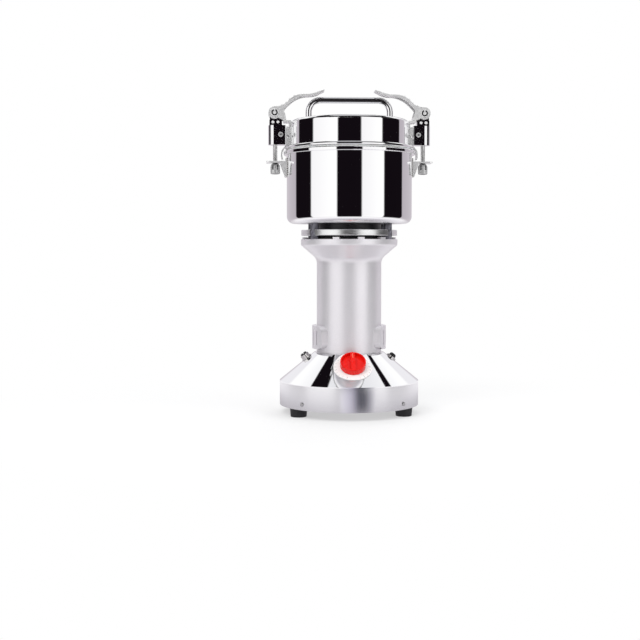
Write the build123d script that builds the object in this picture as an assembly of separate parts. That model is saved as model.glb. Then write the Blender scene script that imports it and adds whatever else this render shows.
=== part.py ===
"""Electric grain mill: a grinding bowl with a clamped lid on an upright motor column and a round base.

Millimetres, +Z up. The origin is on the floor, on the motor axis. -Y is the front, where the knob is.
"""
import os
from math import atan2, cos, degrees, radians, sin, sqrt, tan

from build123d import *

os.makedirs("parts", exist_ok=True)

# Base
base_radius = 89.5
base_wall = 1.5
ring_height = 31.0
cone_rise = 36.0
cone_top_radius = 45.0
wire_hole_radius = 28.0
foot_radius = 11.0
foot_height = 11.0
foot_inset = 11.9
foot_angle = 31.0
pan_thickness = 2.0
pan_rim_height = 12.0
pan_rim_wall = 1.5
ring_screw_radius = 1.5
foot_screw_radius = 2.0
foot_head_height = 3.0

# Fittings on the cone
knob_seat_share = 0.36
knob_radius = 16.0
knob_height = 8.5
knob_rim = 1.6
knob_scoop = 4.0
dial_radius = 24.0
dial_thickness = 0.8
dial_bed = 0.1
timer_nut_height = 2.0
timer_shaft_radius = 3.0
timer_bush_radius = 4.5
timer_width = 30.0
timer_depth = 18.0
side_fitting_share = 0.2135
fitting_flange_thickness = 1.5
fitting_depth = 20.0
fuse_radius = 5.8
fuse_height = 6.0
fuse_cap_radius = 4.3
button_radius = 4.5
button_height = 6.5
button_travel = 2.5
gland_seat_share = 0.382
gland_radius = 8.0
gland_bore = 3.7
gland_height = 10.0
terminal_length = 36.0
terminal_width = 16.0
terminal_height = 9.0
terminal_post_height = 5.0

# Motor housing
column_radius = 41.5
column_height = 120.0
flare_radius = 62.0
flare_rise = 17.7
rim_height = 7.3
housing_wall = 3.5
deck_thickness = 6.0
tab_height = 2.5
tab_width = 8.0
tab_depth = 6.0
tab_pitch = 30.0
tab_start = 10.0
brush_cover_bottom = 5.0
brush_cover_height = 29.5
brush_cover_depth = 6.0
brush_cover_half_angle = 39.0
brush_cover_wall = 1.8
housing_screw_radius = 2.0
housing_boss_radius = 4.5

# Motor
shaft_radius = 5.0
bearing_radius = 13.0
bearing_width = 8.0
bearing_lip = 4.0
bearing_boss_wall = 3.0
bearing_seat_depth = 1.0
bridge_thickness = 5.0
stack_length = 50.0
stack_bottom = 42.0
stack_bore = 20.5
yoke_width = 5.5
pole_width = 20.0
shoe_thickness = 2.5
coil_thickness = 5.0
coil_depth = 5.0
armature_radius = 20.0
end_winding_length = 9.0
end_winding_radius = 18.0
commutator_radius = 11.0
commutator_length = 12.0
brush_width = 6.0
brush_height = 10.0
brush_tube_wall = 1.0
fan_radius = 33.0
fan_height = 12.0
fan_sheet = 1.5

# Neck
gasket_thickness = 4.5
gasket_radius = 50.0
gasket_bore = 30.0
plate_radius = 61.5
plate_thickness = 7.5
post_x = 46.0
post_y = 35.0
post_radius = 5.1
post_bolt_radius = 2.0
post_bolt_head = 2.2
hub_radius = 41.0
hub_height = 8.0
hub_bore = 12.0

# Bowl and blades
bowl_radius = 80.0
bowl_wall = 2.0
bowl_height = 92.0
bowl_corner = 9.0
bead_height = 5.0
bead_width = 4.0
bead_corner = 1.0
bowl_bore = 6.5
blade_seat_height = 8.0
blade_seat_radius = 4.0
blade_length = 136.0
blade_width = 20.0
blade_thickness = 2.5
blade_gap = 10.0
lower_blade_rise = 4.0
upper_blade_rise = 9.0
blade_nut_flats = 13.0
blade_nut_height = 7.0
shaft_end_length = 3.0

# Lid
lid_inset = 4.5
lid_wall = 1.5
lid_height = 37.0
lid_corner = 4.0
lid_flange_overhang = 2.0
lid_flange_height = 4.0
lid_skirt_depth = 6.0
seal_thickness = 1.9
handle_radius = 4.0
handle_half_span = 52.0
handle_rise = 30.0
handle_bend = 15.0
handle_flange_radius = 9.0
handle_flange_thickness = 1.5

# Clamps, given for one side and mirrored for the other
rod_standoff = 14.7
rod_radius = 2.9
shelf_drop = 15.0
shelf_thickness = 2.0
shelf_reach = 11.3
bracket_drop = 18.0
bracket_half_width = 11.0
bracket_sheet = 2.0
nut_radius = 6.15
nut_length = 8.5
block_length = 24.5
block_bottom = 22.8
block_inner_gap = 0.7
block_width = 22.3
block_half_depth = 9.0
lug_half_depth = 6.9
lug_eye_radius = 6.0
pivot_rise = 15.7
pivot_offset = 0.8
knuckle_length = 16.0
knuckle_inset = 9.5
lever_boss_radius = 7.7
lever_sheet = 1.8
lever_reach = 52.0
lever_tip_rise = 6.1
lever_tip_thickness = 1.6
pin_radius = 2.4
pin_head_radius = 4.8
pin_head_height = 1.6
ear_reach = 5.1
ear_half_width = 9.0
ledge_reach = 8.8
ledge_thickness = 2.5
ledge_drop = 0.5
lid_bracket_sheet = 1.6
claw_sheet = 1.8
claw_drop = 8.0
claw_bulge = 1.1
rod_depth = 8.0
screw_radius = 1.7
screw_head_radius = 3.0
screw_head_height = 1.4
screw_length = 6.0

# Clearances
running_gap = 0.05
free_gap = 0.3
slide_gap = 0.6
hole_gap = 0.4

# Sizes that follow from those above
cone_run = base_radius - cone_top_radius
knob_seat_radius = cone_top_radius + knob_seat_share * cone_run
side_fitting_radius = cone_top_radius + side_fitting_share * cone_run
gland_seat_radius = cone_top_radius + gland_seat_share * cone_run
foot_circle = base_radius - foot_inset
lid_radius = bowl_radius - lid_inset
lid_flange_radius = bowl_radius + lid_flange_overhang
rod_x = bowl_radius + rod_standoff

# Levels, from the floor up
pan_z = foot_height
crease_z = foot_height + ring_height
cone_top_z = crease_z + cone_rise
flare_z = cone_top_z + column_height
rim_z = flare_z + flare_rise
deck_z = rim_z + rim_height
plate_z = deck_z + gasket_thickness
hub_z = plate_z + plate_thickness
bowl_z = hub_z + hub_height
rim_top_z = bowl_z + bowl_height
flange_z = rim_top_z + seal_thickness
wall_z = flange_z + lid_flange_height
lid_top_z = flange_z + lid_height
shelf_z = rim_top_z - shelf_drop

FLOOR = (Align.CENTER, Align.CENTER, Align.MIN)


def turned(*edges):
    """A solid of revolution about Z from the closed outline that the edges make in X and Z."""
    return revolve(Plane.XZ * make_face(Curve() + list(edges)), axis=Axis.Z)


def ring(outer, inner, low, high):
    """A tube about Z between two radii and two heights."""
    tube = Cylinder(outer, high - low, align=FLOOR)
    if inner > 0:
        tube -= Cylinder(inner, high - low, align=FLOOR)
    return Pos(0, 0, low) * tube


def save(name, *solids):
    """Writes one node: a single solid, or a group of like solids."""
    shapes = [piece for shape in solids for piece in shape.solids()]
    whole = shapes[0] if len(shapes) == 1 else Compound(shapes)
    export_step(whole, f"parts/{name}.step")


def around(count, start=0.0):
    """Turns about Z, evenly spaced."""
    return [Rot(0, 0, start + 360.0 * k / count) for k in range(count)]


# ---------------------------------------------------------------------------
# Base: a spun cover on a shallow pan, with the fittings on its cone
# ---------------------------------------------------------------------------
cone_angle = atan2(cone_rise, cone_run)


def cone_height(radius):
    """Height of the cone's outside at a radius."""
    return crease_z + (base_radius - radius) * tan(cone_angle)


def cone_seat(radius, azimuth):
    """Location on the cone, its local Z square to the surface and its local X level."""
    turn = radians(azimuth)
    spot = Vector(radius * cos(turn), radius * sin(turn), cone_height(radius))
    normal = Vector(sin(cone_angle) * cos(turn), sin(cone_angle) * sin(turn), cos(cone_angle))
    return Plane(origin=spot, x_dir=Vector(-sin(turn), cos(turn), 0), z_dir=normal).location


def cone_sag(half_width, radius):
    """How far the cone falls away from a flat disc laid on it, at the disc's edge."""
    curve = radius / sin(cone_angle)
    return curve - sqrt(curve ** 2 - half_width ** 2)


knob_seat = cone_seat(knob_seat_radius, -90)
fuse_seat = cone_seat(side_fitting_radius, 180)
button_seat = cone_seat(side_fitting_radius, 0)
gland_seat = cone_seat(gland_seat_radius, 90)
fitting_hole = fuse_radius + hole_gap
fitting_flange_radius = 1.2 * fuse_radius
pan_radius = base_radius - base_wall
ring_screw_z = pan_z + 0.6 * pan_rim_height
housing_screw_circle = column_radius - housing_wall - 0.75 * housing_boss_radius
foot_head_radius = 2 * foot_screw_radius
foot_recess = 0.4 * foot_height
dial_top = dial_bed + dial_thickness
knob_lift = dial_top + slide_gap
bush_top = dial_top + timer_nut_height
bush_flange_radius = 1.55 * timer_bush_radius


def cone_shell(low, high):
    """A layer over the cone, between two distances outside its surface."""
    rise_low = low / cos(cone_angle)
    rise_high = high / cos(cone_angle)
    line = Polyline((base_radius, crease_z + rise_low), (cone_top_radius, cone_top_z + rise_low),
                    (cone_top_radius, cone_top_z + rise_high), (base_radius, crease_z + rise_high),
                    close=True)
    return turned(line)


def base_cover():
    """Ring and cone in one sheet, with a flat top that the column stands on."""
    crease_drop = base_wall * (1 - sin(cone_angle)) / cos(cone_angle)
    top_run = (cone_rise + base_wall * (1 / cos(cone_angle) - 1)) / tan(cone_angle)
    shell = turned(Polyline(
        (base_radius, pan_z), (base_radius, crease_z), (cone_top_radius, cone_top_z),
        (wire_hole_radius, cone_top_z), (wire_hole_radius, cone_top_z - base_wall),
        (base_radius - top_run, cone_top_z - base_wall),
        (base_radius - base_wall, crease_z - crease_drop), (base_radius - base_wall, pan_z),
        close=True))
    drill = 6 * base_wall
    shell -= knob_seat * Cylinder(timer_bush_radius + hole_gap, drill)
    for seat in (fuse_seat, button_seat, gland_seat):
        shell -= seat * Cylinder(fitting_hole, drill)
    for turn in around(4, 45):
        shell -= turn * Pos(base_radius, 0, ring_screw_z) * Rot(0, 90, 0) * Cylinder(
            ring_screw_radius, drill)
        shell -= turn * Pos(housing_screw_circle, 0, cone_top_z) * Cylinder(housing_screw_radius, drill)
    return shell


def foot_places():
    """The four places of the feet."""
    angles = (foot_angle, 180 - foot_angle, 180 + foot_angle, -foot_angle)
    return [Rot(0, 0, angle) * Pos(foot_circle, 0, 0) for angle in angles]


def bottom_plate():
    """A pan whose rim fits inside the ring, with air holes and holes for the screws."""
    pan = ring(pan_radius, 0, pan_z, pan_z + pan_rim_height)
    pan -= ring(pan_radius - pan_rim_wall, 0, pan_z + pan_thickness, pan_z + pan_rim_height)
    for turn in around(12):
        pan -= turn * Pos(0.4 * base_radius, 0, pan_z) * Cylinder(foot_screw_radius * 2, 3 * pan_thickness)
    for turn in around(4, 45):
        pan -= turn * Pos(pan_radius, 0, ring_screw_z) * Rot(0, 90, 0) * Cylinder(
            ring_screw_radius, 6 * pan_rim_wall)
    for place in foot_places():
        pan -= place * Pos(0, 0, pan_z) * Cylinder(foot_screw_radius, 3 * pan_thickness)
    return pan


def foot():
    """A rubber foot, a little narrower at the floor, with a recess for its screw's head."""
    body = Cone(0.92 * foot_radius, foot_radius, foot_height, align=FLOOR)
    body = fillet(body.edges().group_by(Axis.Z)[0], 0.08 * foot_radius)
    body -= Cylinder(foot_head_radius + hole_gap, foot_recess, align=FLOOR)
    return body - Cylinder(foot_screw_radius, foot_height, align=FLOOR)


def foot_screw():
    """A pan-head screw, up through the foot and the pan."""
    head = Pos(0, 0, foot_recess) * Rot(180, 0, 0) * Cylinder(foot_head_radius, foot_head_height, align=FLOOR)
    tip = pan_z + pan_thickness + 4 * foot_screw_radius
    return head + ring(foot_screw_radius, 0, foot_recess, tip)


def ring_screw():
    """A small domed screw through the ring and the pan's rim, along +X."""
    head = Cylinder(1.8 * ring_screw_radius, 0.7 * ring_screw_radius, align=FLOOR)
    head = fillet(head.edges().group_by(Axis.Z)[-1], 0.4 * ring_screw_radius)
    shank_length = base_wall + pan_rim_wall + 2 * ring_screw_radius
    shank = Rot(180, 0, 0) * Cylinder(ring_screw_radius, shank_length, align=FLOOR)
    return Pos(base_radius, 0, ring_screw_z) * Rot(0, 90, 0) * (head + shank)


def dial_plate():
    """A thin plate that follows the cone round the knob, on a bed of adhesive."""
    disc = knob_seat * Cylinder(dial_radius, dial_radius)
    bore = knob_seat * Cylinder(timer_bush_radius + hole_gap, dial_radius)
    return (cone_shell(dial_bed, dial_top) & disc) - bore


def timer_body():
    """The timer switch under the cone: its case and the threaded bush that comes through the cover."""
    case_top = -(base_wall + cone_sag(0.5 * timer_width, knob_seat_radius) + free_gap)
    case = Pos(0, 0, case_top) * Rot(180, 0, 0) * Box(timer_width, timer_width, timer_depth, align=FLOOR)
    case = fillet(case.edges().filter_by(Axis.Z), 0.07 * timer_width)
    bush = Pos(0, 0, case_top) * Cylinder(timer_bush_radius, bush_top - case_top, align=FLOOR)
    bore = Pos(0, 0, case_top - 0.5 * timer_depth) * Cylinder(
        timer_shaft_radius + running_gap, timer_depth - case_top + bush_top, align=FLOOR)
    return knob_seat * (case + bush - bore)


def timer_nut():
    """The flat ring nut that holds the timer and the dial plate to the cover."""
    nut = ring(bush_flange_radius, timer_bush_radius, dial_top, bush_top)
    return knob_seat * nut


def timer_shaft():
    """The shaft that the knob is pressed on."""
    low = -(base_wall + cone_sag(0.5 * timer_width, knob_seat_radius) + free_gap) - 0.4 * timer_depth
    return knob_seat * ring(timer_shaft_radius, 0, low, knob_lift + 0.7 * knob_height)


def knob():
    """Round knob, scooped out each side of a grip bar, with a recess for the nut and a bore for the shaft."""
    face_z = knob_lift + knob_height
    grip_width = 0.36 * knob_radius
    body = Pos(0, 0, knob_lift) * Cylinder(knob_radius, knob_height, align=FLOOR)
    body = fillet(body.edges().group_by(Axis.Z)[-1], 0.5 * knob_rim)
    scoop = ring(knob_radius - knob_rim, 0, face_z - knob_scoop, face_z)
    scoop -= Pos(0, 0, face_z) * Box(grip_width, 2 * knob_radius, 2 * knob_scoop)
    recess = ring(bush_flange_radius + slide_gap, 0, knob_lift, bush_top + free_gap)
    bore = ring(timer_shaft_radius, 0, knob_lift, knob_lift + 0.7 * knob_height)
    pointer = Pos(0, 0.6 * knob_radius, face_z) * Box(0.2 * grip_width, 0.5 * knob_radius, 0.2 * knob_scoop)
    return knob_seat * (body - scoop - recess - bore - pointer)


def fuse_holder():
    """Metal fuse holder: flange on the cone, barrel inside, mouth that takes the cap."""
    body = ring(fitting_flange_radius, 0, 0, fitting_flange_thickness)
    body += ring(fuse_radius, 0, -fitting_depth, fuse_height)
    return fuse_seat * (body - ring(fuse_cap_radius, 0, -0.8 * fitting_depth, fuse_height))


def fuse_cap():
    """Screw cap of the fuse holder, with a slot across its dome."""
    cap = ring(fuse_cap_radius, 0, 0, 1.35 * fuse_height)
    cap = fillet(cap.edges().group_by(Axis.Z)[-1], 0.3 * fuse_cap_radius)
    slot = Pos(0, 0, 1.35 * fuse_height) * Box(3 * fuse_cap_radius, 0.3 * fuse_cap_radius, 0.4 * fuse_height)
    return fuse_seat * (cap - slot)


def reset_switch():
    """Body of the overload switch, with its threaded collar and the bore that the button slides in."""
    body = ring(fitting_flange_radius, 0, 0, fitting_flange_thickness)
    body += ring(fuse_radius, 0, -fitting_depth, 1.6 * fitting_flange_thickness)
    return button_seat * (body - ring(button_radius + running_gap, 0, -0.6 * fitting_depth, fuse_height))


def reset_button():
    """Domed push button."""
    button = ring(button_radius, 0, -0.6 * fitting_depth + button_travel + slide_gap, button_height)
    return button_seat * fillet(button.edges().group_by(Axis.Z)[-1], 0.65 * button_radius)


def cord_gland():
    """Cable gland at the rear: a hexagon on the cone and an open bore through to the inside."""
    hexagon = extrude(RegularPolygon(gland_radius, 6), 0.45 * gland_height)
    neck = ring(0.75 * gland_radius, 0, 0.45 * gland_height, gland_height)
    neck = fillet(neck.edges().group_by(Axis.Z)[-1], 0.1 * gland_height)
    barrel = ring(fuse_radius, 0, -0.6 * fitting_depth, 0.45 * gland_height)
    return gland_seat * (hexagon + neck + barrel - ring(gland_bore, 0, -fitting_depth, 2 * gland_height))


def terminal_block():
    """Three-way terminal strip on the pan, where the supply is joined to the timer and motor."""
    top = terminal_height + terminal_post_height
    block = Box(terminal_length, terminal_width, terminal_height, align=FLOOR)
    for k in (-1, 0, 1):
        place = Pos(k * terminal_length / 3, 0, 0)
        block += place * Box(terminal_length / 5, 0.5 * terminal_width, top, align=FLOOR)
        block -= place * Pos(0, 0, top) * Cylinder(0.12 * terminal_width, terminal_height)
        block -= place * Pos(0, 0, 0.5 * terminal_height) * Rot(90, 0, 0) * Cylinder(
            0.1 * terminal_width, 2 * terminal_width)
    return Pos(0, 0.5 * base_radius, pan_z + pan_thickness) * block


save("base_cover", base_cover())
save("bottom_plate", bottom_plate())
save("feet", *[place * foot() for place in foot_places()])
save("foot_screws", *[place * foot_screw() for place in foot_places()])
save("ring_screws", *[turn * ring_screw() for turn in around(4, 45)])
save("dial_plate", dial_plate())
save("timer_body", timer_body())
save("timer_nut", timer_nut())
save("timer_shaft", timer_shaft())
save("knob", knob())
save("fuse_holder", fuse_holder())
save("fuse_cap", fuse_cap())
save("reset_switch", reset_switch())
save("reset_button", reset_button())
save("cord_gland", cord_gland())
save("terminal_block", terminal_block())

# ---------------------------------------------------------------------------
# Motor: cast housing on the base, bearings, stator, rotor and brushes
# ---------------------------------------------------------------------------
housing_bore = column_radius - housing_wall
bridge_top_z = cone_top_z + bridge_thickness
lower_bearing_z = bridge_top_z + bearing_seat_depth
upper_bearing_z = deck_z - bearing_lip - bearing_width
boss_radius = bearing_radius + bearing_boss_wall
bearing_lip_radius = bearing_radius - bearing_lip
core_z = cone_top_z + stack_bottom
core_top_z = core_z + stack_length
winding_gap = 1.0
winding_low_z = core_z - winding_gap - end_winding_length
winding_high_z = core_top_z + winding_gap
commutator_z = winding_low_z - 0.25 * commutator_length - commutator_length
brush_z = commutator_z + 0.5 * commutator_length
fan_z = winding_high_z + 1.45 * end_winding_length
blade_z = bowl_z + blade_seat_height
shaft_top_z = blade_z + 2 * blade_thickness + blade_gap + blade_nut_height + shaft_end_length
brush_port_radius = 0.75 * brush_height
post_circle = sqrt(post_x ** 2 + post_y ** 2)
post_angle = degrees(atan2(post_y, post_x))


def post_places():
    """The four places of the rubber posts."""
    return [Pos(x, y, 0) for x in (-post_x, post_x) for y in (-post_y, post_y)]


def rim_tabs():
    """Small raised tabs round the rim, left out where they would meet a post."""
    post_angles = (post_angle, 180 - post_angle, 180 + post_angle, 360 - post_angle)
    half_reach = degrees((0.5 * tab_width + post_radius + free_gap) / post_circle)
    tabs = []
    for k in range(int(360 / tab_pitch)):
        angle = (tab_start + k * tab_pitch) % 360
        if all(abs(angle - post) > half_reach for post in post_angles):
            root = 0.4 * tab_height
            tab = Pos(flare_radius - root, 0, deck_z - root) * Box(
                tab_depth, tab_width, tab_height + root, align=(Align.MAX, Align.CENTER, Align.MIN))
            tabs.append(Rot(0, 0, angle) * tab)
    return tabs


def motor_housing():
    """Cast column with a flared top, closed by a deck that carries the upper bearing."""
    slope = atan2(flare_rise, flare_radius - column_radius)
    outside = FilletPolyline(
        (column_radius, cone_top_z), (column_radius, flare_z), (flare_radius, rim_z),
        (flare_radius, deck_z), radius=[0.3 * column_radius, 0.04 * flare_radius])
    under_z = deck_z - deck_thickness
    boss_low_z = upper_bearing_z - bearing_seat_depth
    reach = column_radius + (under_z - flare_z - housing_wall / cos(slope)) / tan(slope)
    inside = Polyline(
        (flare_radius, deck_z), (bearing_lip_radius, deck_z),
        (bearing_lip_radius, upper_bearing_z + bearing_width),
        (bearing_radius, upper_bearing_z + bearing_width), (bearing_radius, boss_low_z),
        (boss_radius, boss_low_z), (boss_radius, under_z),
        (min(reach, flare_radius - housing_wall), under_z),
        (housing_bore, flare_z + housing_wall * (1 / cos(slope) - tan(slope))),
        (housing_bore, cone_top_z), (column_radius, cone_top_z))
    body = turned(outside, inside)
    for tab in rim_tabs():
        body += tab
    for turn in around(4, 45):
        boss = ring(housing_boss_radius, 0, bridge_top_z, bridge_top_z + 3 * housing_boss_radius)
        body += turn * Pos(housing_screw_circle, 0, 0) * boss
        hole = Cylinder(0.8 * housing_screw_radius, 4 * housing_boss_radius)
        body -= turn * Pos(housing_screw_circle, 0, bridge_top_z) * hole
    for side in (-1, 1):
        body -= Pos(side * column_radius, 0, brush_z) * Rot(0, 90, 0) * Cylinder(
            brush_port_radius, 4 * housing_wall)
    for place in post_places():
        body -= place * Pos(0, 0, deck_z) * Cylinder(post_bolt_radius, 3 * deck_thickness)
    return body


def housing_screw():
    """A screw from inside the base, up through the cover and the bridge into the housing."""
    head = Rot(180, 0, 0) * Cylinder(2 * housing_screw_radius, 1.4 * housing_screw_radius, align=FLOOR)
    reach = base_wall + bridge_thickness + 2 * housing_boss_radius
    shank = Cylinder(0.8 * housing_screw_radius, reach, align=FLOOR)
    return Pos(housing_screw_circle, 0, cone_top_z - base_wall) * (head + shank)


def brush_cover():
    """Louvred cap low on the column's +X side, over the brush port."""
    outer = column_radius + brush_cover_depth
    low = cone_top_z + brush_cover_bottom
    high = low + brush_cover_height
    wide = radians(brush_cover_half_angle)
    window = Pos(0, 0, 0.5 * (low + high)) * Box(
        outer, 2 * outer * sin(wide), high - low, align=(Align.MIN, Align.CENTER, Align.CENTER))
    window = fillet(window.edges().filter_by(Axis.X), 0.3 * brush_cover_height)
    cap = ring(outer, column_radius, low, high) & window
    hollow = ring(outer - brush_cover_wall, column_radius, low + brush_cover_wall, high - brush_cover_wall)
    inner_width = 2 * (outer * sin(wide) - 2 * brush_cover_wall)
    inner_window = Pos(0, 0, 0.5 * (low + high)) * Box(
        outer, inner_width, high - low, align=(Align.MIN, Align.CENTER, Align.CENTER))
    cap -= hollow & inner_window
    slot_height = brush_cover_height - 6 * brush_cover_wall
    for step in (-2, -1, 0, 1, 2):
        slot = Box(brush_cover_depth, brush_cover_wall, slot_height)
        cap -= Rot(0, 0, 0.33 * step * brush_cover_half_angle) * Pos(outer, 0, 0.5 * (low + high)) * slot
    return cap


def bearing_bridge():
    """Disc across the foot of the column, with a hub for the lower bearing and air windows."""
    bridge = ring(housing_bore, 0, cone_top_z, bridge_top_z)
    bridge += ring(boss_radius, 0, cone_top_z, lower_bearing_z + bearing_width)
    bridge -= ring(bearing_radius, 0, lower_bearing_z, lower_bearing_z + bearing_width)
    bridge -= ring(bearing_lip_radius, 0, cone_top_z, lower_bearing_z)
    window_radius = 0.4 * (housing_bore - boss_radius)
    for turn in around(4):
        bridge -= turn * Pos(0.5 * (housing_bore + boss_radius), 0, cone_top_z) * Cylinder(
            window_radius, 3 * bridge_thickness)
    for turn in around(4, 45):
        bridge -= turn * Pos(housing_screw_circle, 0, cone_top_z) * Cylinder(
            0.8 * housing_screw_radius, 3 * bridge_thickness)
    return bridge


def bearing():
    """A ball bearing as one ring, with a shallow seal groove on each face."""
    body = ring(bearing_radius, shaft_radius + running_gap, 0, bearing_width)
    inner = shaft_radius + 0.3 * (bearing_radius - shaft_radius)
    outer = bearing_radius - 0.25 * (bearing_radius - shaft_radius)
    depth = 0.06 * bearing_width
    groove = ring(outer, inner, 0, depth)
    return body - groove - Pos(0, 0, bearing_width - depth) * groove


def stator_core():
    """Laminated stack in the housing: a round yoke and two poles with shoes, on the X axis."""
    yoke_bore = housing_bore - yoke_width
    yoke = ring(housing_bore, yoke_bore, core_z, core_top_z)
    span = Pos(0, 0, core_z) * Box(2 * housing_bore, pole_width, stack_length, align=FLOOR)
    poles = span & ring(yoke_bore + 0.1 * yoke_width, stack_bore, core_z, core_top_z)
    shoe_box = Pos(0, 0, core_z) * Box(2 * yoke_bore, 1.6 * stack_bore, stack_length, align=FLOOR)
    shoes = shoe_box & ring(stack_bore + shoe_thickness, stack_bore, core_z, core_top_z)
    return yoke + poles + shoes


def stator_coil(side):
    """A wound loop round one pole."""
    inner_y = 0.5 * pole_width + free_gap
    inner_z = 0.5 * stack_length + free_gap
    start = stack_bore + shoe_thickness + free_gap
    loop = Box(coil_depth, 2 * (inner_y + coil_thickness), 2 * (inner_z + coil_thickness))
    loop = fillet(loop.edges().filter_by(Axis.X), 0.9 * coil_thickness)
    loop -= Box(2 * coil_depth, 2 * inner_y, 2 * inner_z)
    return Pos(side * (start + 0.5 * coil_depth), 0, core_z + 0.5 * stack_length) * loop


def motor_shaft():
    """Steel shaft through both bearings into the bowl, stepped where the blades sit."""
    shaft = ring(shaft_radius, 0, lower_bearing_z, blade_z)
    shaft += ring(blade_seat_radius, 0, blade_z, shaft_top_z)
    return chamfer(shaft.edges().group_by(Axis.Z)[-1], 0.12 * shaft_radius)


def armature_core():
    """Laminated rotor with twelve slots."""
    core = ring(armature_radius, shaft_radius, core_z, core_top_z)
    for turn in around(12):
        core -= turn * Pos(0.87 * armature_radius, 0, core_z) * Box(
            0.3 * armature_radius, 0.12 * armature_radius, stack_length, align=FLOOR)
    return core


def armature_winding(low):
    """A wound end turn of the rotor."""
    winding = ring(end_winding_radius, shaft_radius, low, low + end_winding_length)
    outer_edges = winding.edges().filter_by(GeomType.CIRCLE).group_by(SortBy.RADIUS)[-1]
    return fillet(outer_edges, 0.3 * end_winding_length)


def commutator():
    """Copper commutator with slots between its bars."""
    body = ring(commutator_radius, shaft_radius, commutator_z, commutator_z + commutator_length)
    for turn in around(12, 15):
        body -= turn * Pos(commutator_radius, 0, commutator_z) * Box(
            0.15 * commutator_radius, 0.07 * commutator_radius, commutator_length, align=FLOOR)
    return body


def carbon_brush(side):
    """A carbon brush that faces the commutator."""
    length = 0.55 * (housing_bore - commutator_radius)
    start = commutator_radius + free_gap
    return Pos(side * (start + 0.5 * length), 0, brush_z) * Box(length, brush_width, brush_height)


def brush_holder(side):
    """Brass tube through the brush port, with a flange outside the housing wall."""
    start = 1.27 * commutator_radius
    end = column_radius + brush_tube_wall
    collar_start = housing_bore - 2 * brush_tube_wall
    tube = Pos(start, 0, 0) * Box(
        end - start, brush_width + 2 * brush_tube_wall, brush_height + 2 * brush_tube_wall,
        align=(Align.MIN, Align.CENTER, Align.CENTER))
    collar = Pos(collar_start, 0, 0) * Rot(0, 90, 0) * Cylinder(
        brush_port_radius, end - collar_start, align=FLOOR)
    bore = Pos(start, 0, 0) * Box(
        0.55 * (housing_bore - commutator_radius), brush_width, brush_height,
        align=(Align.MIN, Align.CENTER, Align.CENTER))
    holder = Pos(0, 0, brush_z) * (tube + collar - bore)
    return holder if side > 0 else Rot(0, 0, 180) * holder


def cooling_fan():
    """Radial fan on the shaft: a back disc, a hub and ten blades."""
    fan = ring(fan_radius, shaft_radius, fan_z, fan_z + fan_sheet)
    fan += ring(2 * shaft_radius, shaft_radius, fan_z, fan_z + fan_height)
    blade_start = 1.8 * shaft_radius
    blade = Pos(blade_start, 0, fan_z) * Box(
        fan_radius - blade_start - fan_sheet, fan_sheet, fan_height,
        align=(Align.MIN, Align.CENTER, Align.MIN))
    for turn in around(10):
        fan += turn * blade
    return fan


save("motor_housing", motor_housing())
save("housing_screws", *[turn * housing_screw() for turn in around(4, 45)])
save("brush_covers", brush_cover(), Rot(0, 0, 180) * brush_cover())
save("bearing_bridge", bearing_bridge())
save("bearings", Pos(0, 0, lower_bearing_z) * bearing(), Pos(0, 0, upper_bearing_z) * bearing())
save("stator_core", stator_core())
save("stator_windings", stator_coil(-1), stator_coil(1))
save("motor_shaft", motor_shaft())
save("armature_core", armature_core())
save("armature_windings", armature_winding(winding_low_z), armature_winding(winding_high_z))
save("commutator", commutator())
save("carbon_brushes", carbon_brush(-1), carbon_brush(1))
save("brush_holders", brush_holder(-1), brush_holder(1))
save("cooling_fan", cooling_fan())

# ---------------------------------------------------------------------------
# Neck: gasket, thick plate, rubber posts and the hub under the bowl
# ---------------------------------------------------------------------------
def mounting_plate():
    """Thick round plate, scalloped at its rim to clear the posts."""
    plate = ring(plate_radius, hub_bore, plate_z, hub_z)
    rims = plate.edges().filter_by(GeomType.CIRCLE).group_by(SortBy.RADIUS)[-1]
    plate = fillet(rims, 0.1 * plate_thickness)
    for place in post_places():
        plate -= place * ring(post_radius + slide_gap, 0, deck_z, bowl_z)
    return plate


def isolator_post():
    """Rubber post between the housing and the bowl, bored for its bolt."""
    post = ring(post_radius, 0, deck_z, bowl_z)
    return post - ring(post_bolt_radius, 0, deck_z, bowl_z)


def post_bolt():
    """A bolt from inside the bowl, down through the post into the deck."""
    floor_z = bowl_z + bowl_wall
    head = ring(2 * post_bolt_radius, 0, floor_z, floor_z + post_bolt_head)
    head = fillet(head.edges().group_by(Axis.Z)[-1], 0.4 * post_bolt_head)
    return head + ring(post_bolt_radius, 0, deck_z - 0.8 * deck_thickness, floor_z)


def shaft_seal():
    """Rubber lip seal in the hub, round the shaft."""
    seal = ring(hub_bore, shaft_radius + running_gap, hub_z, bowl_z)
    lip = 0.3 * (hub_bore - shaft_radius)
    return seal - ring(hub_bore - lip, shaft_radius + lip, hub_z, hub_z + 0.5 * hub_height)


save("neck_gasket", ring(gasket_radius, gasket_bore, deck_z, plate_z))
save("mounting_plate", mounting_plate())
save("isolator_posts", *[place * isolator_post() for place in post_places()])
save("post_bolts", *[place * post_bolt() for place in post_places()])
save("bowl_hub", ring(hub_radius, hub_bore, hub_z, bowl_z))
save("shaft_seal", shaft_seal())


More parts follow.
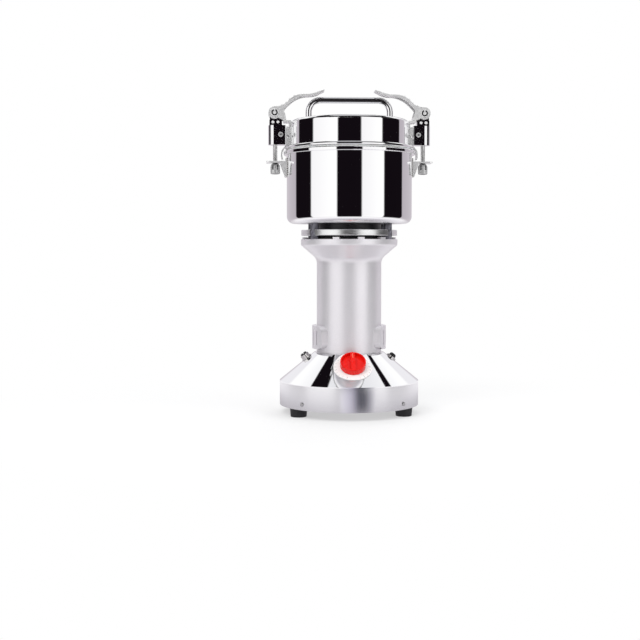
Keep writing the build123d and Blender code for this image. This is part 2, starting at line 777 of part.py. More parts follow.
# ---------------------------------------------------------------------------
# Bowl, its brackets and the blades
# ---------------------------------------------------------------------------
def bowl():
    """Drawn bowl with a rounded corner, a flat band round its rim and a bore for the shaft."""
    bead_low = rim_top_z - bead_height
    bead_radius = bowl_radius + bead_width
    inner = bowl_radius - bowl_wall
    inner_corner = bowl_corner - bowl_wall
    skew = cos(radians(45))
    outer_mid = (bowl_radius - bowl_corner * (1 - skew), bowl_z + bowl_corner * (1 - skew))
    inner_mid = (inner - inner_corner * (1 - skew), bowl_z + bowl_wall + inner_corner * (1 - skew))
    band_mid = bead_corner * (1 - skew)
    shell = turned(
        Line((bowl_bore, bowl_z), (bowl_radius - bowl_corner, bowl_z)),
        ThreePointArc((bowl_radius - bowl_corner, bowl_z), outer_mid, (bowl_radius, bowl_z + bowl_corner)),
        Polyline((bowl_radius, bowl_z + bowl_corner), (bowl_radius, bead_low),
                 (bead_radius - bead_corner, bead_low)),
        ThreePointArc((bead_radius - bead_corner, bead_low), (bead_radius - band_mid, bead_low + band_mid),
                      (bead_radius, bead_low + bead_corner)),
        Line((bead_radius, bead_low + bead_corner), (bead_radius, rim_top_z - bead_corner)),
        ThreePointArc((bead_radius, rim_top_z - bead_corner), (bead_radius - band_mid, rim_top_z - band_mid),
                      (bead_radius - bead_corner, rim_top_z)),
        Polyline((bead_radius - bead_corner, rim_top_z), (inner, rim_top_z), (inner, bowl_z + bowl_corner)),
        ThreePointArc((inner, bowl_z + bowl_corner), inner_mid, (bowl_radius - bowl_corner, bowl_z + bowl_wall)),
        Polyline((bowl_radius - bowl_corner, bowl_z + bowl_wall), (bowl_bore, bowl_z + bowl_wall),
                 (bowl_bore, bowl_z)))
    for place in post_places():
        shell -= place * Pos(0, 0, bowl_z) * Cylinder(post_bolt_radius, 4 * bowl_wall)
    return shell


def blade(rise):
    """A two-ended blade with sharpened leading edges and tips that rise or dip."""
    half = 0.5 * blade_length
    bend = 0.55 * half
    side = Polyline((0, 0), (bend, 0), (half, rise), (half, rise + blade_thickness),
                    (bend, blade_thickness), (0, blade_thickness), close=True)
    arm = extrude(Plane.XZ * make_face(side), 0.5 * blade_width, both=True)
    bevel = Pos(0.62 * half, -0.3 * blade_width, 0) * Rot(0, 0, 12) * Box(
        half, blade_width, blade_length, align=(Align.CENTER, Align.MAX, Align.CENTER))
    arm -= bevel
    body = arm + Rot(0, 0, 180) * arm
    return body - Cylinder(blade_seat_radius, blade_length)


slot_half_width = rod_radius + hole_gap
swing_z = shelf_z - sqrt(nut_radius ** 2 - slot_half_width ** 2) - free_gap


def bowl_bracket():
    """Bracket welded to the bowl's +X side: back plate, slotted shelf and two gussets."""
    low = shelf_z - bracket_drop
    end = rod_x + shelf_reach
    outside_bowl = ring(bowl_radius, 0, bowl_z, rim_top_z)
    back = ring(bowl_radius + bracket_sheet, bowl_radius, low, shelf_z + 3 * shelf_thickness)
    back &= Box(2 * end, 2 * bracket_half_width, 4 * rim_top_z, align=(Align.MIN, Align.CENTER, Align.CENTER))
    shelf = Pos(0, 0, shelf_z) * Box(end, 2 * bracket_half_width, shelf_thickness,
                                     align=(Align.MIN, Align.CENTER, Align.MIN))
    shelf = fillet(shelf.edges().filter_by(Axis.Z).group_by(Axis.X)[-1], 0.27 * bracket_half_width)
    slot = Pos(rod_x, 0, shelf_z) * Cylinder(slot_half_width, 4 * shelf_thickness)
    slot += Pos(rod_x, 0, shelf_z) * Box(2 * shelf_reach, 2 * slot_half_width, 4 * shelf_thickness,
                                         align=(Align.MIN, Align.CENTER, Align.CENTER))
    side = Polyline((0.9 * bowl_radius, low), (bowl_radius + bracket_sheet, low),
                    (rod_x - nut_radius, shelf_z), (rod_x - nut_radius, shelf_z + 0.5 * shelf_thickness),
                    (0.9 * bowl_radius, shelf_z + 0.5 * shelf_thickness), close=True)
    gusset = extrude(Plane.XZ * make_face(side), 0.5 * bracket_sheet, both=True)
    gusset_y = bracket_half_width - 0.5 * bracket_sheet
    gussets = Pos(0, gusset_y, 0) * gusset + Pos(0, -gusset_y, 0) * gusset
    return back + (shelf - slot + gussets - outside_bowl)


lower_blade_z = blade_z
upper_blade_z = blade_z + blade_thickness + blade_gap
blade_nut_z = upper_blade_z + blade_thickness

save("bowl", bowl())
save("bowl_brackets", bowl_bracket(), bowl_bracket().mirror(Plane.YZ))
save("lower_blade", Pos(0, 0, lower_blade_z) * blade(lower_blade_rise))
save("blade_spacer", ring(2 * blade_seat_radius, blade_seat_radius, lower_blade_z + blade_thickness,
                          upper_blade_z))
save("upper_blade", Pos(0, 0, upper_blade_z) * Rot(0, 0, 90) * blade(upper_blade_rise))
blade_nut = extrude(RegularPolygon(0.5 * blade_nut_flats, 6, major_radius=False), blade_nut_height)
save("blade_nut", Pos(0, 0, blade_nut_z) * (blade_nut - Cylinder(blade_seat_radius, 4 * blade_nut_height)))


# ---------------------------------------------------------------------------
# Lid: drawn cover with a seal, a carry handle and a bracket at each side
# ---------------------------------------------------------------------------
skirt_radius = bowl_radius - bowl_wall - slide_gap


def lid():
    """Flat-topped cover with a rounded edge, a flange on the seal and a skirt inside the bowl."""
    skirt_z = flange_z - lid_skirt_depth
    skirt_inner = skirt_radius - lid_wall
    inner = lid_radius - lid_wall
    inner_corner = lid_corner - lid_wall
    curl_radius = lid_flange_radius - 0.25 * lid_flange_height
    skew = cos(radians(45))
    outer_mid = (lid_radius - lid_corner * (1 - skew), lid_top_z - lid_corner * (1 - skew))
    inner_mid = (inner - inner_corner * (1 - skew), lid_top_z - lid_wall - inner_corner * (1 - skew))
    step_z = flange_z + lid_wall
    return turned(
        Line((0, lid_top_z), (lid_radius - lid_corner, lid_top_z)),
        ThreePointArc((lid_radius - lid_corner, lid_top_z), outer_mid, (lid_radius, lid_top_z - lid_corner)),
        Line((lid_radius, lid_top_z - lid_corner), (lid_radius, wall_z)),
        Line((lid_radius, wall_z), (curl_radius, wall_z)),
        ThreePointArc((curl_radius, wall_z), (lid_flange_radius, 0.5 * (wall_z + flange_z)),
                      (curl_radius, flange_z)),
        Polyline((curl_radius, flange_z), (skirt_radius, flange_z), (skirt_radius, skirt_z),
                 (skirt_inner, skirt_z), (skirt_inner, step_z), (inner, step_z),
                 (inner, lid_top_z - lid_corner)),
        ThreePointArc((inner, lid_top_z - lid_corner), inner_mid, (lid_radius - lid_corner, lid_top_z - lid_wall)),
        Polyline((lid_radius - lid_corner, lid_top_z - lid_wall), (0, lid_top_z - lid_wall), (0, lid_top_z)))


def lid_seal():
    """Flat rubber ring under the flange."""
    return ring(lid_flange_radius - lid_wall, skirt_radius, rim_top_z + 2 * running_gap, flange_z)


def lid_handle():
    """Round bar bent to a carry handle, its legs on the handle flanges."""
    foot_z = lid_top_z + handle_flange_thickness
    top_z = lid_top_z + handle_rise - handle_radius
    line = Plane.XZ * FilletPolyline(
        (-handle_half_span, foot_z), (-handle_half_span, top_z), (handle_half_span, top_z),
        (handle_half_span, foot_z), radius=handle_bend)
    section = Plane(origin=(-handle_half_span, 0, foot_z), z_dir=(0, 0, 1)) * Circle(handle_radius)
    return sweep(section, line)


def handle_flange(side):
    """Round foot of a handle leg, welded to the lid."""
    pad = ring(handle_flange_radius, 0, lid_top_z, lid_top_z + handle_flange_thickness)
    pad = fillet(pad.edges().group_by(Axis.Z)[-1], 0.5 * handle_flange_thickness)
    return Pos(side * handle_half_span, 0, 0) * pad


def lid_bracket():
    """Bracket on the lid's +X side: back plate, two drilled ears, top ledge and a curved claw over the rim."""
    top_z = lid_top_z - ledge_drop
    ear_top_z = top_z - 3.2 * ledge_thickness
    root_x = 0.8 * lid_radius
    back_x = lid_radius + lid_bracket_sheet
    ear_end = lid_radius + ear_reach
    claw_x = bowl_radius + bead_width + slide_gap
    claw_low_z = rim_top_z - 0.5 * bead_height - claw_drop
    neck_in_z = rim_top_z + 0.26 * seal_thickness
    neck_out_z = rim_top_z + 0.7 * seal_thickness

    def slab(low_x, high_x, half_width, low_z, high_z):
        size = Box(high_x - low_x, 2 * half_width, high_z - low_z, align=(Align.MIN, Align.CENTER, Align.MIN))
        return Pos(low_x, 0, low_z) * size

    back = slab(root_x, back_x, ear_half_width, wall_z, top_z)
    ears = slab(root_x, ear_end, ear_half_width, wall_z, ear_top_z)
    ears -= slab(back_x, 2 * ear_end, ear_half_width - lid_bracket_sheet, flange_z, lid_top_z)
    ear_hole = Pos(0.5 * (back_x + ear_end), 0, 0.5 * (wall_z + ear_top_z)) * Rot(90, 0, 0) * Cylinder(
        0.38 * (ear_end - back_x), 4 * ear_half_width)
    ledge = slab(root_x, lid_radius + ledge_reach, ear_half_width, top_z - ledge_thickness, top_z)
    bulge_out = (claw_x + claw_sheet + claw_bulge, 0.5 * (neck_out_z + claw_low_z))
    bulge_in = (claw_x + claw_bulge, 0.5 * (neck_in_z + claw_low_z))
    hook = make_face(Curve() + [
        Polyline((lid_flange_radius - slide_gap, wall_z), (root_x, wall_z),
                 (root_x, wall_z + 0.5 * lid_flange_height), (ear_end, wall_z + 0.5 * lid_flange_height),
                 (claw_x + claw_sheet, neck_out_z)),
        ThreePointArc((claw_x + claw_sheet, neck_out_z), bulge_out, (claw_x + claw_sheet, claw_low_z)),
        Line((claw_x + claw_sheet, claw_low_z), (claw_x, claw_low_z)),
        ThreePointArc((claw_x, claw_low_z), bulge_in, (claw_x, neck_in_z)),
        Polyline((claw_x, neck_in_z), (lid_flange_radius + free_gap, flange_z + 0.6 * lid_flange_height),
                 (lid_flange_radius - slide_gap, wall_z))])
    claw = extrude(Plane.XZ * hook, ear_half_width - 2 * lid_bracket_sheet, both=True)
    return back + (ears - ear_hole) + ledge + claw - ring(lid_radius, 0, flange_z, 2 * lid_top_z)


save("lid", lid())
save("lid_seal", lid_seal())
save("lid_handle", lid_handle())
save("handle_flanges", handle_flange(-1), handle_flange(1))
save("lid_brackets", lid_bracket(), lid_bracket().mirror(Plane.YZ))


# ---------------------------------------------------------------------------
# Clamps: rod with nut under the shelf, block with a lug, and the lever that presses on the lid
# ---------------------------------------------------------------------------
block_x = lid_radius + ear_reach + block_inner_gap
block_z = shelf_z + block_bottom
block_top_z = block_z + block_length
pivot_x = rod_x + pivot_offset
pivot_z = block_top_z + pivot_rise
ledge_top_z = lid_top_z - ledge_drop
handle_top_z = lid_top_z + handle_rise
screw_x = block_x + 0.29 * block_width
screw_z = block_z + 0.52 * block_length
lever_half_width = lug_half_depth + free_gap + lever_sheet


def clamp_rod():
    """Threaded rod from the nut into the block."""
    rod = ring(rod_radius, 0, swing_z - 0.88 * nut_length, block_z + rod_depth)
    return Pos(rod_x, 0, 0) * chamfer(rod.edges().group_by(Axis.Z)[0], 0.2 * rod_radius)


def clamp_nut():
    """Adjusting nut with a ball-shaped top that sits under the shelf, and slots for a spanner."""
    ball = Sphere(nut_radius) & Box(4 * nut_radius, 4 * nut_radius, 4 * nut_radius, align=FLOOR)
    barrel = ring(nut_radius, 0, -nut_length, 0)
    barrel = fillet(barrel.edges().group_by(Axis.Z)[0], 0.25 * nut_radius)
    nut = ball + barrel
    for turn in around(6):
        nut -= turn * Pos(nut_radius, 0, 0) * Box(0.5 * nut_radius, 0.36 * nut_radius, nut_radius)
    return Pos(rod_x, 0, swing_z) * (nut - Cylinder(rod_radius, 6 * nut_radius))


def clamp_block():
    """Polished block on the rod, round at its outer side, with a lug that carries the lever's pivot."""
    block = Pos(block_x, 0, block_z) * Box(
        block_width, 2 * block_half_depth, block_length, align=(Align.MIN, Align.CENTER, Align.MIN))
    block = fillet(block.edges().filter_by(Axis.Z).group_by(Axis.X)[-1], 0.97 * block_half_depth)
    block = fillet(block.edges().filter_by(Axis.Z).group_by(Axis.X)[0], 0.1 * block_half_depth)
    neck_height = pivot_rise - lever_boss_radius - free_gap
    knuckle = Pos(pivot_x - knuckle_inset, 0, block_top_z) * Box(
        knuckle_length, 2 * lug_half_depth, neck_height, align=(Align.MIN, Align.CENTER, Align.MIN))
    knuckle = fillet(knuckle.edges().filter_by(Axis.Y).group_by(Axis.Z)[-1], 0.25 * neck_height)
    lug = Pos(pivot_x, 0, block_top_z) * Box(
        2 * lug_eye_radius, 2 * lug_half_depth, pivot_rise, align=FLOOR)
    eye = Pos(pivot_x, 0, pivot_z) * Rot(90, 0, 0) * Cylinder(lug_eye_radius, 2 * lug_half_depth)
    bore = Pos(pivot_x, 0, pivot_z) * Rot(90, 0, 0) * Cylinder(pin_radius + running_gap, 4 * lug_half_depth)
    rod_bore = Pos(rod_x, 0, block_z) * Cylinder(rod_radius, rod_depth, align=FLOOR)
    screw_bore = Pos(screw_x, -block_half_depth, screw_z) * Rot(90, 0, 0) * Cylinder(screw_radius, 2 * screw_length)
    return block + knuckle + lug + eye - bore - rod_bore - screw_bore


def clamp_screw():
    """Slotted screw in the block's front face."""
    head = Cylinder(screw_head_radius, screw_head_height, align=FLOOR)
    head = fillet(head.edges().group_by(Axis.Z)[-1], 0.35 * screw_head_height)
    head -= Pos(0, 0, screw_head_height) * Box(3 * screw_head_radius, 0.3 * screw_head_radius, screw_head_height)
    shank = Rot(180, 0, 0) * Cylinder(screw_radius, screw_length, align=FLOOR)
    return Pos(screw_x, -block_half_depth, screw_z) * Rot(90, 0, 0) * (head + shank)


def lever_side():
    """Outline of the lever from the side, its pivot at the origin and its tip inwards."""
    level = handle_top_z + slide_gap - pivot_z
    nose_z = ledge_top_z + free_gap - pivot_z
    nose_x = lid_radius + ledge_reach - pivot_x
    heel = (nose_x, 0.4 * lever_boss_radius)

    def place(run, rise, tip):
        return nose_x - run * lever_reach, rise * level + tip * lever_tip_rise

    lower = Spline(
        heel, place(0.063, 0.32, 0), place(0.16, 0.55, 0), place(0.275, 0.76, 0), place(0.41, 0.91, 0),
        place(0.525, 0.98, 0), place(0.66, 1, 0), place(0.775, 1, 0.15), place(0.902, 1, 0.62), place(1, 1, 1))
    tip = (lower @ 1) + Vector(0, lever_tip_thickness)
    upper = Spline(
        tip, place(0.852, 1, 0.836), place(0.654, 1, 0.377), place(0.406, 1, 0.246), place(0.281, 1, -0.066),
        place(0.158, 0.79, 0), place(0.083, 0.6, 0), place(-0.04, 0.43, 0), (0, lever_boss_radius))
    arm = make_face(Curve() + [
        lower, Line(lower @ 1, tip), upper, Polyline((0, lever_boss_radius), (0, 0), heel)])
    nose = make_face(Polyline(
        (nose_x, nose_z), (nose_x - 2 * lever_sheet, nose_z), (nose_x - 1.4 * lever_sheet, 0.35 * nose_z),
        (nose_x, 0.65 * lever_boss_radius), (0, 0.4 * lever_boss_radius), (0, -0.5 * lever_boss_radius),
        close=True))
    return Sketch() + arm + nose + Circle(lever_boss_radius)


def clamp_lever():
    """Formed sheet lever: two cheeks on the pivot, a web over them and a nose bar on the ledge."""
    side = Plane.XZ * lever_side()
    body = extrude(side, lever_half_width, both=True)
    void = Pos(-0.6 * lever_sheet, 0, -lever_sheet) * extrude(side, lever_half_width - lever_sheet, both=True)
    body -= void
    width = 2 * (lever_half_width - lever_sheet)
    body -= Pos(-0.13 * lever_boss_radius, 0, 0) * Box(
        4 * lever_boss_radius, width, 4 * lever_boss_radius, align=(Align.MIN, Align.CENTER, Align.CENTER))
    body -= Rot(90, 0, 0) * Cylinder(lug_eye_radius + slide_gap, width)
    nose_x = lid_radius + ledge_reach - pivot_x
    nose_z = ledge_top_z + free_gap - pivot_z
    body += Pos(nose_x - 0.9 * lever_sheet, 0, nose_z) * Box(
        1.7 * lever_sheet, width + lever_sheet, 2.5 * lever_sheet, align=FLOOR)
    body -= Rot(90, 0, 0) * Cylinder(pin_radius, 4 * lever_half_width)
    return Pos(pivot_x, 0, pivot_z) * body


def lever_pin():
    """Pivot pin, riveted over in a domed head at each end."""
    pin = Rot(90, 0, 0) * Cylinder(pin_radius, 2 * lever_half_width)
    head = Cylinder(pin_head_radius, pin_head_height, align=FLOOR)
    head = fillet(head.edges().group_by(Axis.Z)[-1], 0.75 * pin_head_height)
    for tilt in (90, -90):
        pin += Rot(tilt, 0, 0) * Pos(0, 0, lever_half_width) * head
    return Pos(pivot_x, 0, pivot_z) * pin


clamp_pieces = {
    "clamp_rod": clamp_rod(),
    "clamp_nut": clamp_nut(),
    "clamp_block": clamp_block(),
    "clamp_screw": clamp_screw(),
    "clamp_lever": clamp_lever(),
    "lever_pin": lever_pin(),
}
for piece_name, piece in clamp_pieces.items():
    save(f"{piece_name}_right", piece)
    save(f"{piece_name}_left", piece.mirror(Plane.YZ))
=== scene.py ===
from math import asin, atan2, cos, degrees, hypot, pi, radians, sin, sqrt, tan

import bpy
from mathutils import Matrix, Vector


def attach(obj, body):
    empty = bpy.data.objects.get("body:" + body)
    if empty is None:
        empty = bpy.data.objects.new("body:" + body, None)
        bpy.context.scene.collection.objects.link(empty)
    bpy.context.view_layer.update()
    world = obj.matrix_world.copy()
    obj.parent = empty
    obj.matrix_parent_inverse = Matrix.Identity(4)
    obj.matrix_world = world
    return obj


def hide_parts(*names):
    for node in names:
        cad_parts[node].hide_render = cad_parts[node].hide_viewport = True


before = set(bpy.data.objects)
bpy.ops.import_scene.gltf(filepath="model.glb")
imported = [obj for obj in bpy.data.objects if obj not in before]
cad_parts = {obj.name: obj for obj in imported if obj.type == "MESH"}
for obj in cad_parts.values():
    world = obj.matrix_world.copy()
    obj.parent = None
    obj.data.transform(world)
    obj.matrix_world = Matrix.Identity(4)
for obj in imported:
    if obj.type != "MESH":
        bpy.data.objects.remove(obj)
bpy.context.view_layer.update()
bpy.ops.object.select_all(action="DESELECT")

# The camera stands a little to the left of the mill's front, at the height of its motor.
# It looks slightly down and a little left of the mill's axis, so the mill sits right of
# the middle.
camera_data = bpy.data.cameras.new("camera")
camera_data.lens = 62.35
camera_data.clip_start = 0.05
camera = bpy.data.objects.new("camera", camera_data)
camera.location = (-0.1122, -1.4256, 0.212)
looks_down, looks_right = radians(3.72), radians(3.0)
camera.rotation_euler = (radians(90) - looks_down, 0, -looks_right)
bpy.context.scene.collection.objects.link(camera)
bpy.context.scene.camera = camera
bpy.context.scene.view_settings.view_transform = "Standard"

# The studio. A camera sees plain white all round. Polished metal sees two tall white
# screens in front of black cloth, grey side walls, and a white ceiling with two black bars.
studio = bpy.data.worlds.new("studio")
studio.use_nodes = True
studio.cycles.sampling_method = "NONE"
bpy.context.scene.world = studio
sky, wires = studio.node_tree.nodes, studio.node_tree.links
sky.clear()


def sum_of(kind, first, second=None, third=None):
    """One maths node of the studio; each input is a number or another node's output."""
    node = sky.new("ShaderNodeMath")
    node.operation = kind
    for place, value in enumerate((first, second, third)):
        if isinstance(value, bpy.types.NodeSocket):
            wires.new(value, node.inputs[place])
        elif value is not None:
            node.inputs[place].default_value = value
    return node.outputs[0]


def layered(amount, below, above):
    """One colour or light over another, by an amount from 0 to 1."""
    node = sky.new("ShaderNodeMix")
    node.data_type = "RGBA"
    wires.new(amount, node.inputs["Factor"])
    for socket, value in ((node.inputs[6], below), (node.inputs[7], above)):
        if isinstance(value, bpy.types.NodeSocket):
            wires.new(value, socket)
        else:
            socket.default_value = (*value, 1)
    return node.outputs[2]


def edge(value, start, end):
    """A soft step up from 0 to 1 between two values."""
    node = sky.new("ShaderNodeMapRange")
    wires.new(value, node.inputs["Value"])
    node.inputs["From Min"].default_value = start
    node.inputs["From Max"].default_value = end
    return node.outputs["Result"]


direction = sky.new("ShaderNodeSeparateXYZ")
wires.new(sky.new("ShaderNodeTexCoord").outputs["Generated"], direction.inputs[0])
along_x, along_y, along_z = direction.outputs
turn = sum_of("ARCTAN2", along_x, sum_of("MULTIPLY", along_y, -1.0))
turn = sum_of("MULTIPLY_ADD", turn, 1 / (2 * pi), 0.5)
rise = sum_of("MULTIPLY", sum_of("ARCSINE", along_z), 180 / pi)

wall_grey = (0.66, 0.62, 0.66)
wall_near = (0.50, 0.46, 0.50)
cloth = (0.006, 0.004, 0.006)
screen = (1.1, 1.1, 1.09)
screen_dim = (0.98, 0.97, 0.98)
walls = sky.new("ShaderNodeValToRGB")
stops = walls.color_ramp.elements
stops.remove(stops[1])
stops[0].position, stops[0].color = 0.0, (*wall_grey, 1)
soft_edge = 1.0
for turned_to, before, after in (
    (-118.7, wall_near, cloth),
    (-78.0, cloth, screen_dim),
    (-26.4, screen, cloth),
    (18.5, cloth, screen_dim),
    (61.4, screen, cloth),
    (108.0, cloth, wall_near),
):
    for side, colour in ((-soft_edge, before), (soft_edge, after)):
        stop = stops.new((turned_to + side) / 360 + 0.5)
        stop.color = (*colour, 1)
stops.new(1.0).color = (*wall_grey, 1)
wires.new(turn, walls.inputs["Fac"])

upward = sum_of("MAXIMUM", along_z, 0.05)
over_x, over_y = sum_of("DIVIDE", along_x, upward), sum_of("DIVIDE", along_y, upward)
left_place = sum_of("MULTIPLY", sum_of("SUBTRACT", over_y, over_x), sqrt(0.5))
right_place = sum_of("MULTIPLY", sum_of("ADD", over_y, over_x), sqrt(0.5))
ceiling_white, ceiling_middle, middle_span = (1.08, 1.08, 1.08), (0.80, 0.80, 0.83), (84.0, 40.0)
ceiling = layered(edge(rise, *middle_span), ceiling_middle, ceiling_white)
blur = 0.012
for place, near, far in ((left_place, 0.325, 0.66), (right_place, 0.60, 0.76)):
    near_side = edge(place, near - blur, near + blur)
    far_side = edge(place, far + blur, far - blur)
    ceiling = layered(sum_of("MULTIPLY", near_side, far_side), ceiling, cloth)

# Above the screens hangs a strip of black cloth, and behind the mill the wall is lit.
# Each layer fades in over a span of height in degrees, or over a part of a turn.
ceiling_bottom, floor_top = (24.0, 32.0), (-38.0, -46.0)
cloth_bottom, cloth_top, cloth_sides = (26.0, 29.0), (72.0, 66.0), (0.30, 0.28)
lit_bottom, lit_top, lit_sides = (4.0, 12.0), (34.0, 28.0), (0.34, 0.38)
lit_wall, far_floor = (0.90, 0.89, 0.92), (0.72, 0.72, 0.74)
mirrored = layered(edge(rise, *ceiling_bottom), walls.outputs["Color"], ceiling)
away = sum_of("ABSOLUTE", sum_of("SUBTRACT", turn, 0.5))
front_cloth = sum_of("MULTIPLY", edge(rise, *cloth_bottom), edge(rise, *cloth_top))
front_cloth = sum_of("MULTIPLY", front_cloth, edge(away, *cloth_sides))
mirrored = layered(front_cloth, mirrored, cloth)
back_light = sum_of("MULTIPLY", edge(rise, *lit_bottom), edge(away, *lit_sides))
back_light = sum_of("MULTIPLY", back_light, edge(rise, *lit_top))
mirrored = layered(back_light, mirrored, lit_wall)
mirrored = layered(edge(rise, *floor_top), mirrored, far_floor)
paths = sky.new("ShaderNodeLightPath")
seen = sum_of("MAXIMUM", paths.outputs["Is Glossy Ray"], paths.outputs["Is Transmission Ray"])
soft_fill = (0.62, 0.62, 0.63)
shown = layered(seen, soft_fill, mirrored)
shown = layered(paths.outputs["Is Camera Ray"], shown, (1, 1, 1))
light = sky.new("ShaderNodeBackground")
wires.new(shown, light.inputs["Color"])
wires.new(light.outputs[0], sky.new("ShaderNodeOutputWorld").inputs["Surface"])

aimed_at = Vector((0, 0, 0.2))
for name, place, size, watts in (
    ("key_lamp", (-1.0, -1.5, 1.7), 1.4, 26.0),
    ("fill_lamp", (1.5, -1.1, 1.1), 1.6, 13.0),
    ("back_lamp", (0.3, 1.6, 1.4), 1.6, 14.0),
):
    lamp = bpy.data.lights.new(name, "AREA")
    lamp.energy, lamp.size = watts, size
    holder = bpy.data.objects.new(name, lamp)
    holder.location = place
    holder.rotation_euler = (aimed_at - Vector(place)).to_track_quat("-Z", "Y").to_euler()
    holder.visible_glossy = False
    bpy.context.scene.collection.objects.link(holder)

# The floor is a white board that takes the mill's shadow. Polished metal mirrors a
# smaller board instead, which carries a painted shadow of the mill and fades out, and a curved
# card that stands before the base.
bpy.ops.mesh.primitive_plane_add(size=30.0)
floor = bpy.context.object
floor.name = "floor"
floor.visible_glossy = False
board = bpy.data.materials.new("white_board")
board.use_nodes = True
nodes, links = board.node_tree.nodes, board.node_tree.links
matt = nodes["Principled BSDF"]
matt.inputs["Base Color"].default_value = (0.90, 0.90, 0.90, 1)
matt.inputs["Roughness"].default_value = 0.9
matt.inputs["Specular IOR Level"].default_value = 0.0
glow = nodes.new("ShaderNodeEmission")
half = nodes.new("ShaderNodeMixShader")
apart = nodes.new("ShaderNodeVectorMath")
apart.operation = "LENGTH"
links.new(nodes.new("ShaderNodeTexCoord").outputs["Object"], apart.inputs[0])
fading = nodes.new("ShaderNodeMapRange")
fading.inputs["From Min"].default_value = 0.10
fading.inputs["From Max"].default_value = 0.50
fading.inputs["To Min"].default_value = 0.45
links.new(apart.outputs["Value"], fading.inputs["Value"])
share = nodes.new("ShaderNodeMath")
share.operation = "MULTIPLY"
links.new(fading.outputs["Result"], share.inputs[1])
links.new(nodes.new("ShaderNodeLightPath").outputs["Is Camera Ray"], share.inputs[0])
links.new(share.outputs[0], half.inputs[0])
links.new(matt.outputs[0], half.inputs[1])
links.new(glow.outputs[0], half.inputs[2])
links.new(half.outputs[0], nodes["Material Output"].inputs["Surface"])
floor.data.materials.append(board)


def opened(piece, chosen, corners=False):
    """Opens a piece for editing, with just the faces or corners selected that a rule chooses."""
    bpy.ops.object.mode_set(mode="EDIT")
    bpy.ops.mesh.select_all(action="DESELECT")
    bpy.ops.object.mode_set(mode="OBJECT")
    for part in piece.data.vertices if corners else piece.data.polygons:
        part.select = chosen(part)
    bpy.ops.object.mode_set(mode="EDIT")


board_radius, board_z = 0.75, -0.001
bpy.ops.mesh.primitive_circle_add(vertices=96, radius=board_radius, fill_type="NGON",
                                  location=(0, 0, board_z))
near_board = bpy.context.object
near_board.name = "near_board"
card_from, card_to = -14, 28
card_radius, card_height, card_middle = 0.165, 0.036, 0.0175
bpy.ops.mesh.primitive_cylinder_add(vertices=180, radius=card_radius, depth=card_height,
                                    end_fill_type="NOTHING", location=(0, 0, card_middle))
card = bpy.context.object
card.name = "black_card"
bpy.ops.object.transform_apply(location=True)
opened(card, lambda face: not card_from < degrees(atan2(face.center.x, -face.center.y)) < card_to)
bpy.ops.mesh.delete(type="FACE")
bpy.ops.object.mode_set(mode="OBJECT")


def paper(piece, along, stops, start, end, fade_from=8.0, fade_to=9.0):
    """Glowing paper that only mirrors see. Its tone changes along the distance from the
    axis or the turn round it, and it thins out to nothing between two distances."""
    piece.visible_camera = False
    piece.visible_diffuse = False
    piece.visible_shadow = False
    sheet = bpy.data.materials.new(piece.name)
    sheet.use_nodes = True
    nodes, links = sheet.node_tree.nodes, sheet.node_tree.links
    nodes.remove(nodes["Principled BSDF"])
    where = nodes.new("ShaderNodeTexCoord")
    split = nodes.new("ShaderNodeSeparateXYZ")
    links.new(where.outputs["Object"], split.inputs[0])
    apart = nodes.new("ShaderNodeVectorMath")
    apart.operation = "LENGTH"
    links.new(where.outputs["Object"], apart.inputs[0])
    front = nodes.new("ShaderNodeMath")
    front.operation = "MULTIPLY"
    front.inputs[1].default_value = -1.0
    links.new(split.outputs[1], front.inputs[0])
    round_axis = nodes.new("ShaderNodeMath")
    round_axis.operation = "ARCTAN2"
    links.new(split.outputs[0], round_axis.inputs[0])
    links.new(front.outputs[0], round_axis.inputs[1])
    span = nodes.new("ShaderNodeMapRange")
    span.inputs["From Min"].default_value = start
    span.inputs["From Max"].default_value = end
    place = apart.outputs["Value"] if along == "distance" else round_axis.outputs[0]
    links.new(place, span.inputs["Value"])
    shades = nodes.new("ShaderNodeValToRGB")
    ramp = shades.color_ramp.elements
    ramp.remove(ramp[1])
    ramp[0].position, ramp[0].color = stops[0][0], (*stops[0][1], 1)
    for place, colour in stops[1:]:
        ramp.new(place).color = (*colour, 1)
    links.new(span.outputs["Result"], shades.inputs["Fac"])
    glow = nodes.new("ShaderNodeEmission")
    links.new(shades.outputs["Color"], glow.inputs["Color"])
    fade = nodes.new("ShaderNodeMapRange")
    fade.inputs["From Min"].default_value = fade_from
    fade.inputs["From Max"].default_value = fade_to
    links.new(apart.outputs["Value"], fade.inputs["Value"])
    thinned = nodes.new("ShaderNodeMixShader")
    links.new(fade.outputs["Result"], thinned.inputs[0])
    links.new(glow.outputs[0], thinned.inputs[1])
    links.new(nodes.new("ShaderNodeBsdfTransparent").outputs[0], thinned.inputs[2])
    links.new(thinned.outputs[0], nodes["Material Output"].inputs["Surface"])
    piece.data.materials.append(sheet)


# The reflected board is painted darker towards the mill's axis: a painted shadow of the mill, as
# mirrors see it.
board_tones_with_painted_shadow = ((0.0, (0.45, 0.43, 0.46)), (0.22, (0.62, 0.60, 0.64)), (0.38, (0.90, 0.88, 0.92)),
               (0.60, (1.0, 0.98, 1.0)))
card_tones = ((0.0, (0.88, 0.86, 0.92)), (0.30, (0.56, 0.53, 0.64)), (0.50, (0.05, 0.05, 0.07)),
              (0.68, (0.06, 0.06, 0.08)), (0.84, (0.36, 0.35, 0.40)), (1.0, (0.88, 0.86, 0.90)))
paper(near_board, "distance", board_tones_with_painted_shadow, 0.09, 0.65, 0.45, board_radius)
paper(card, "turn", card_tones, radians(card_from), radians(card_to))

# The base cover is one spun stainless sheet: a mirror-polished cone over a ring that is
# left satin, with fine turning lines round both.
MM = 0.001


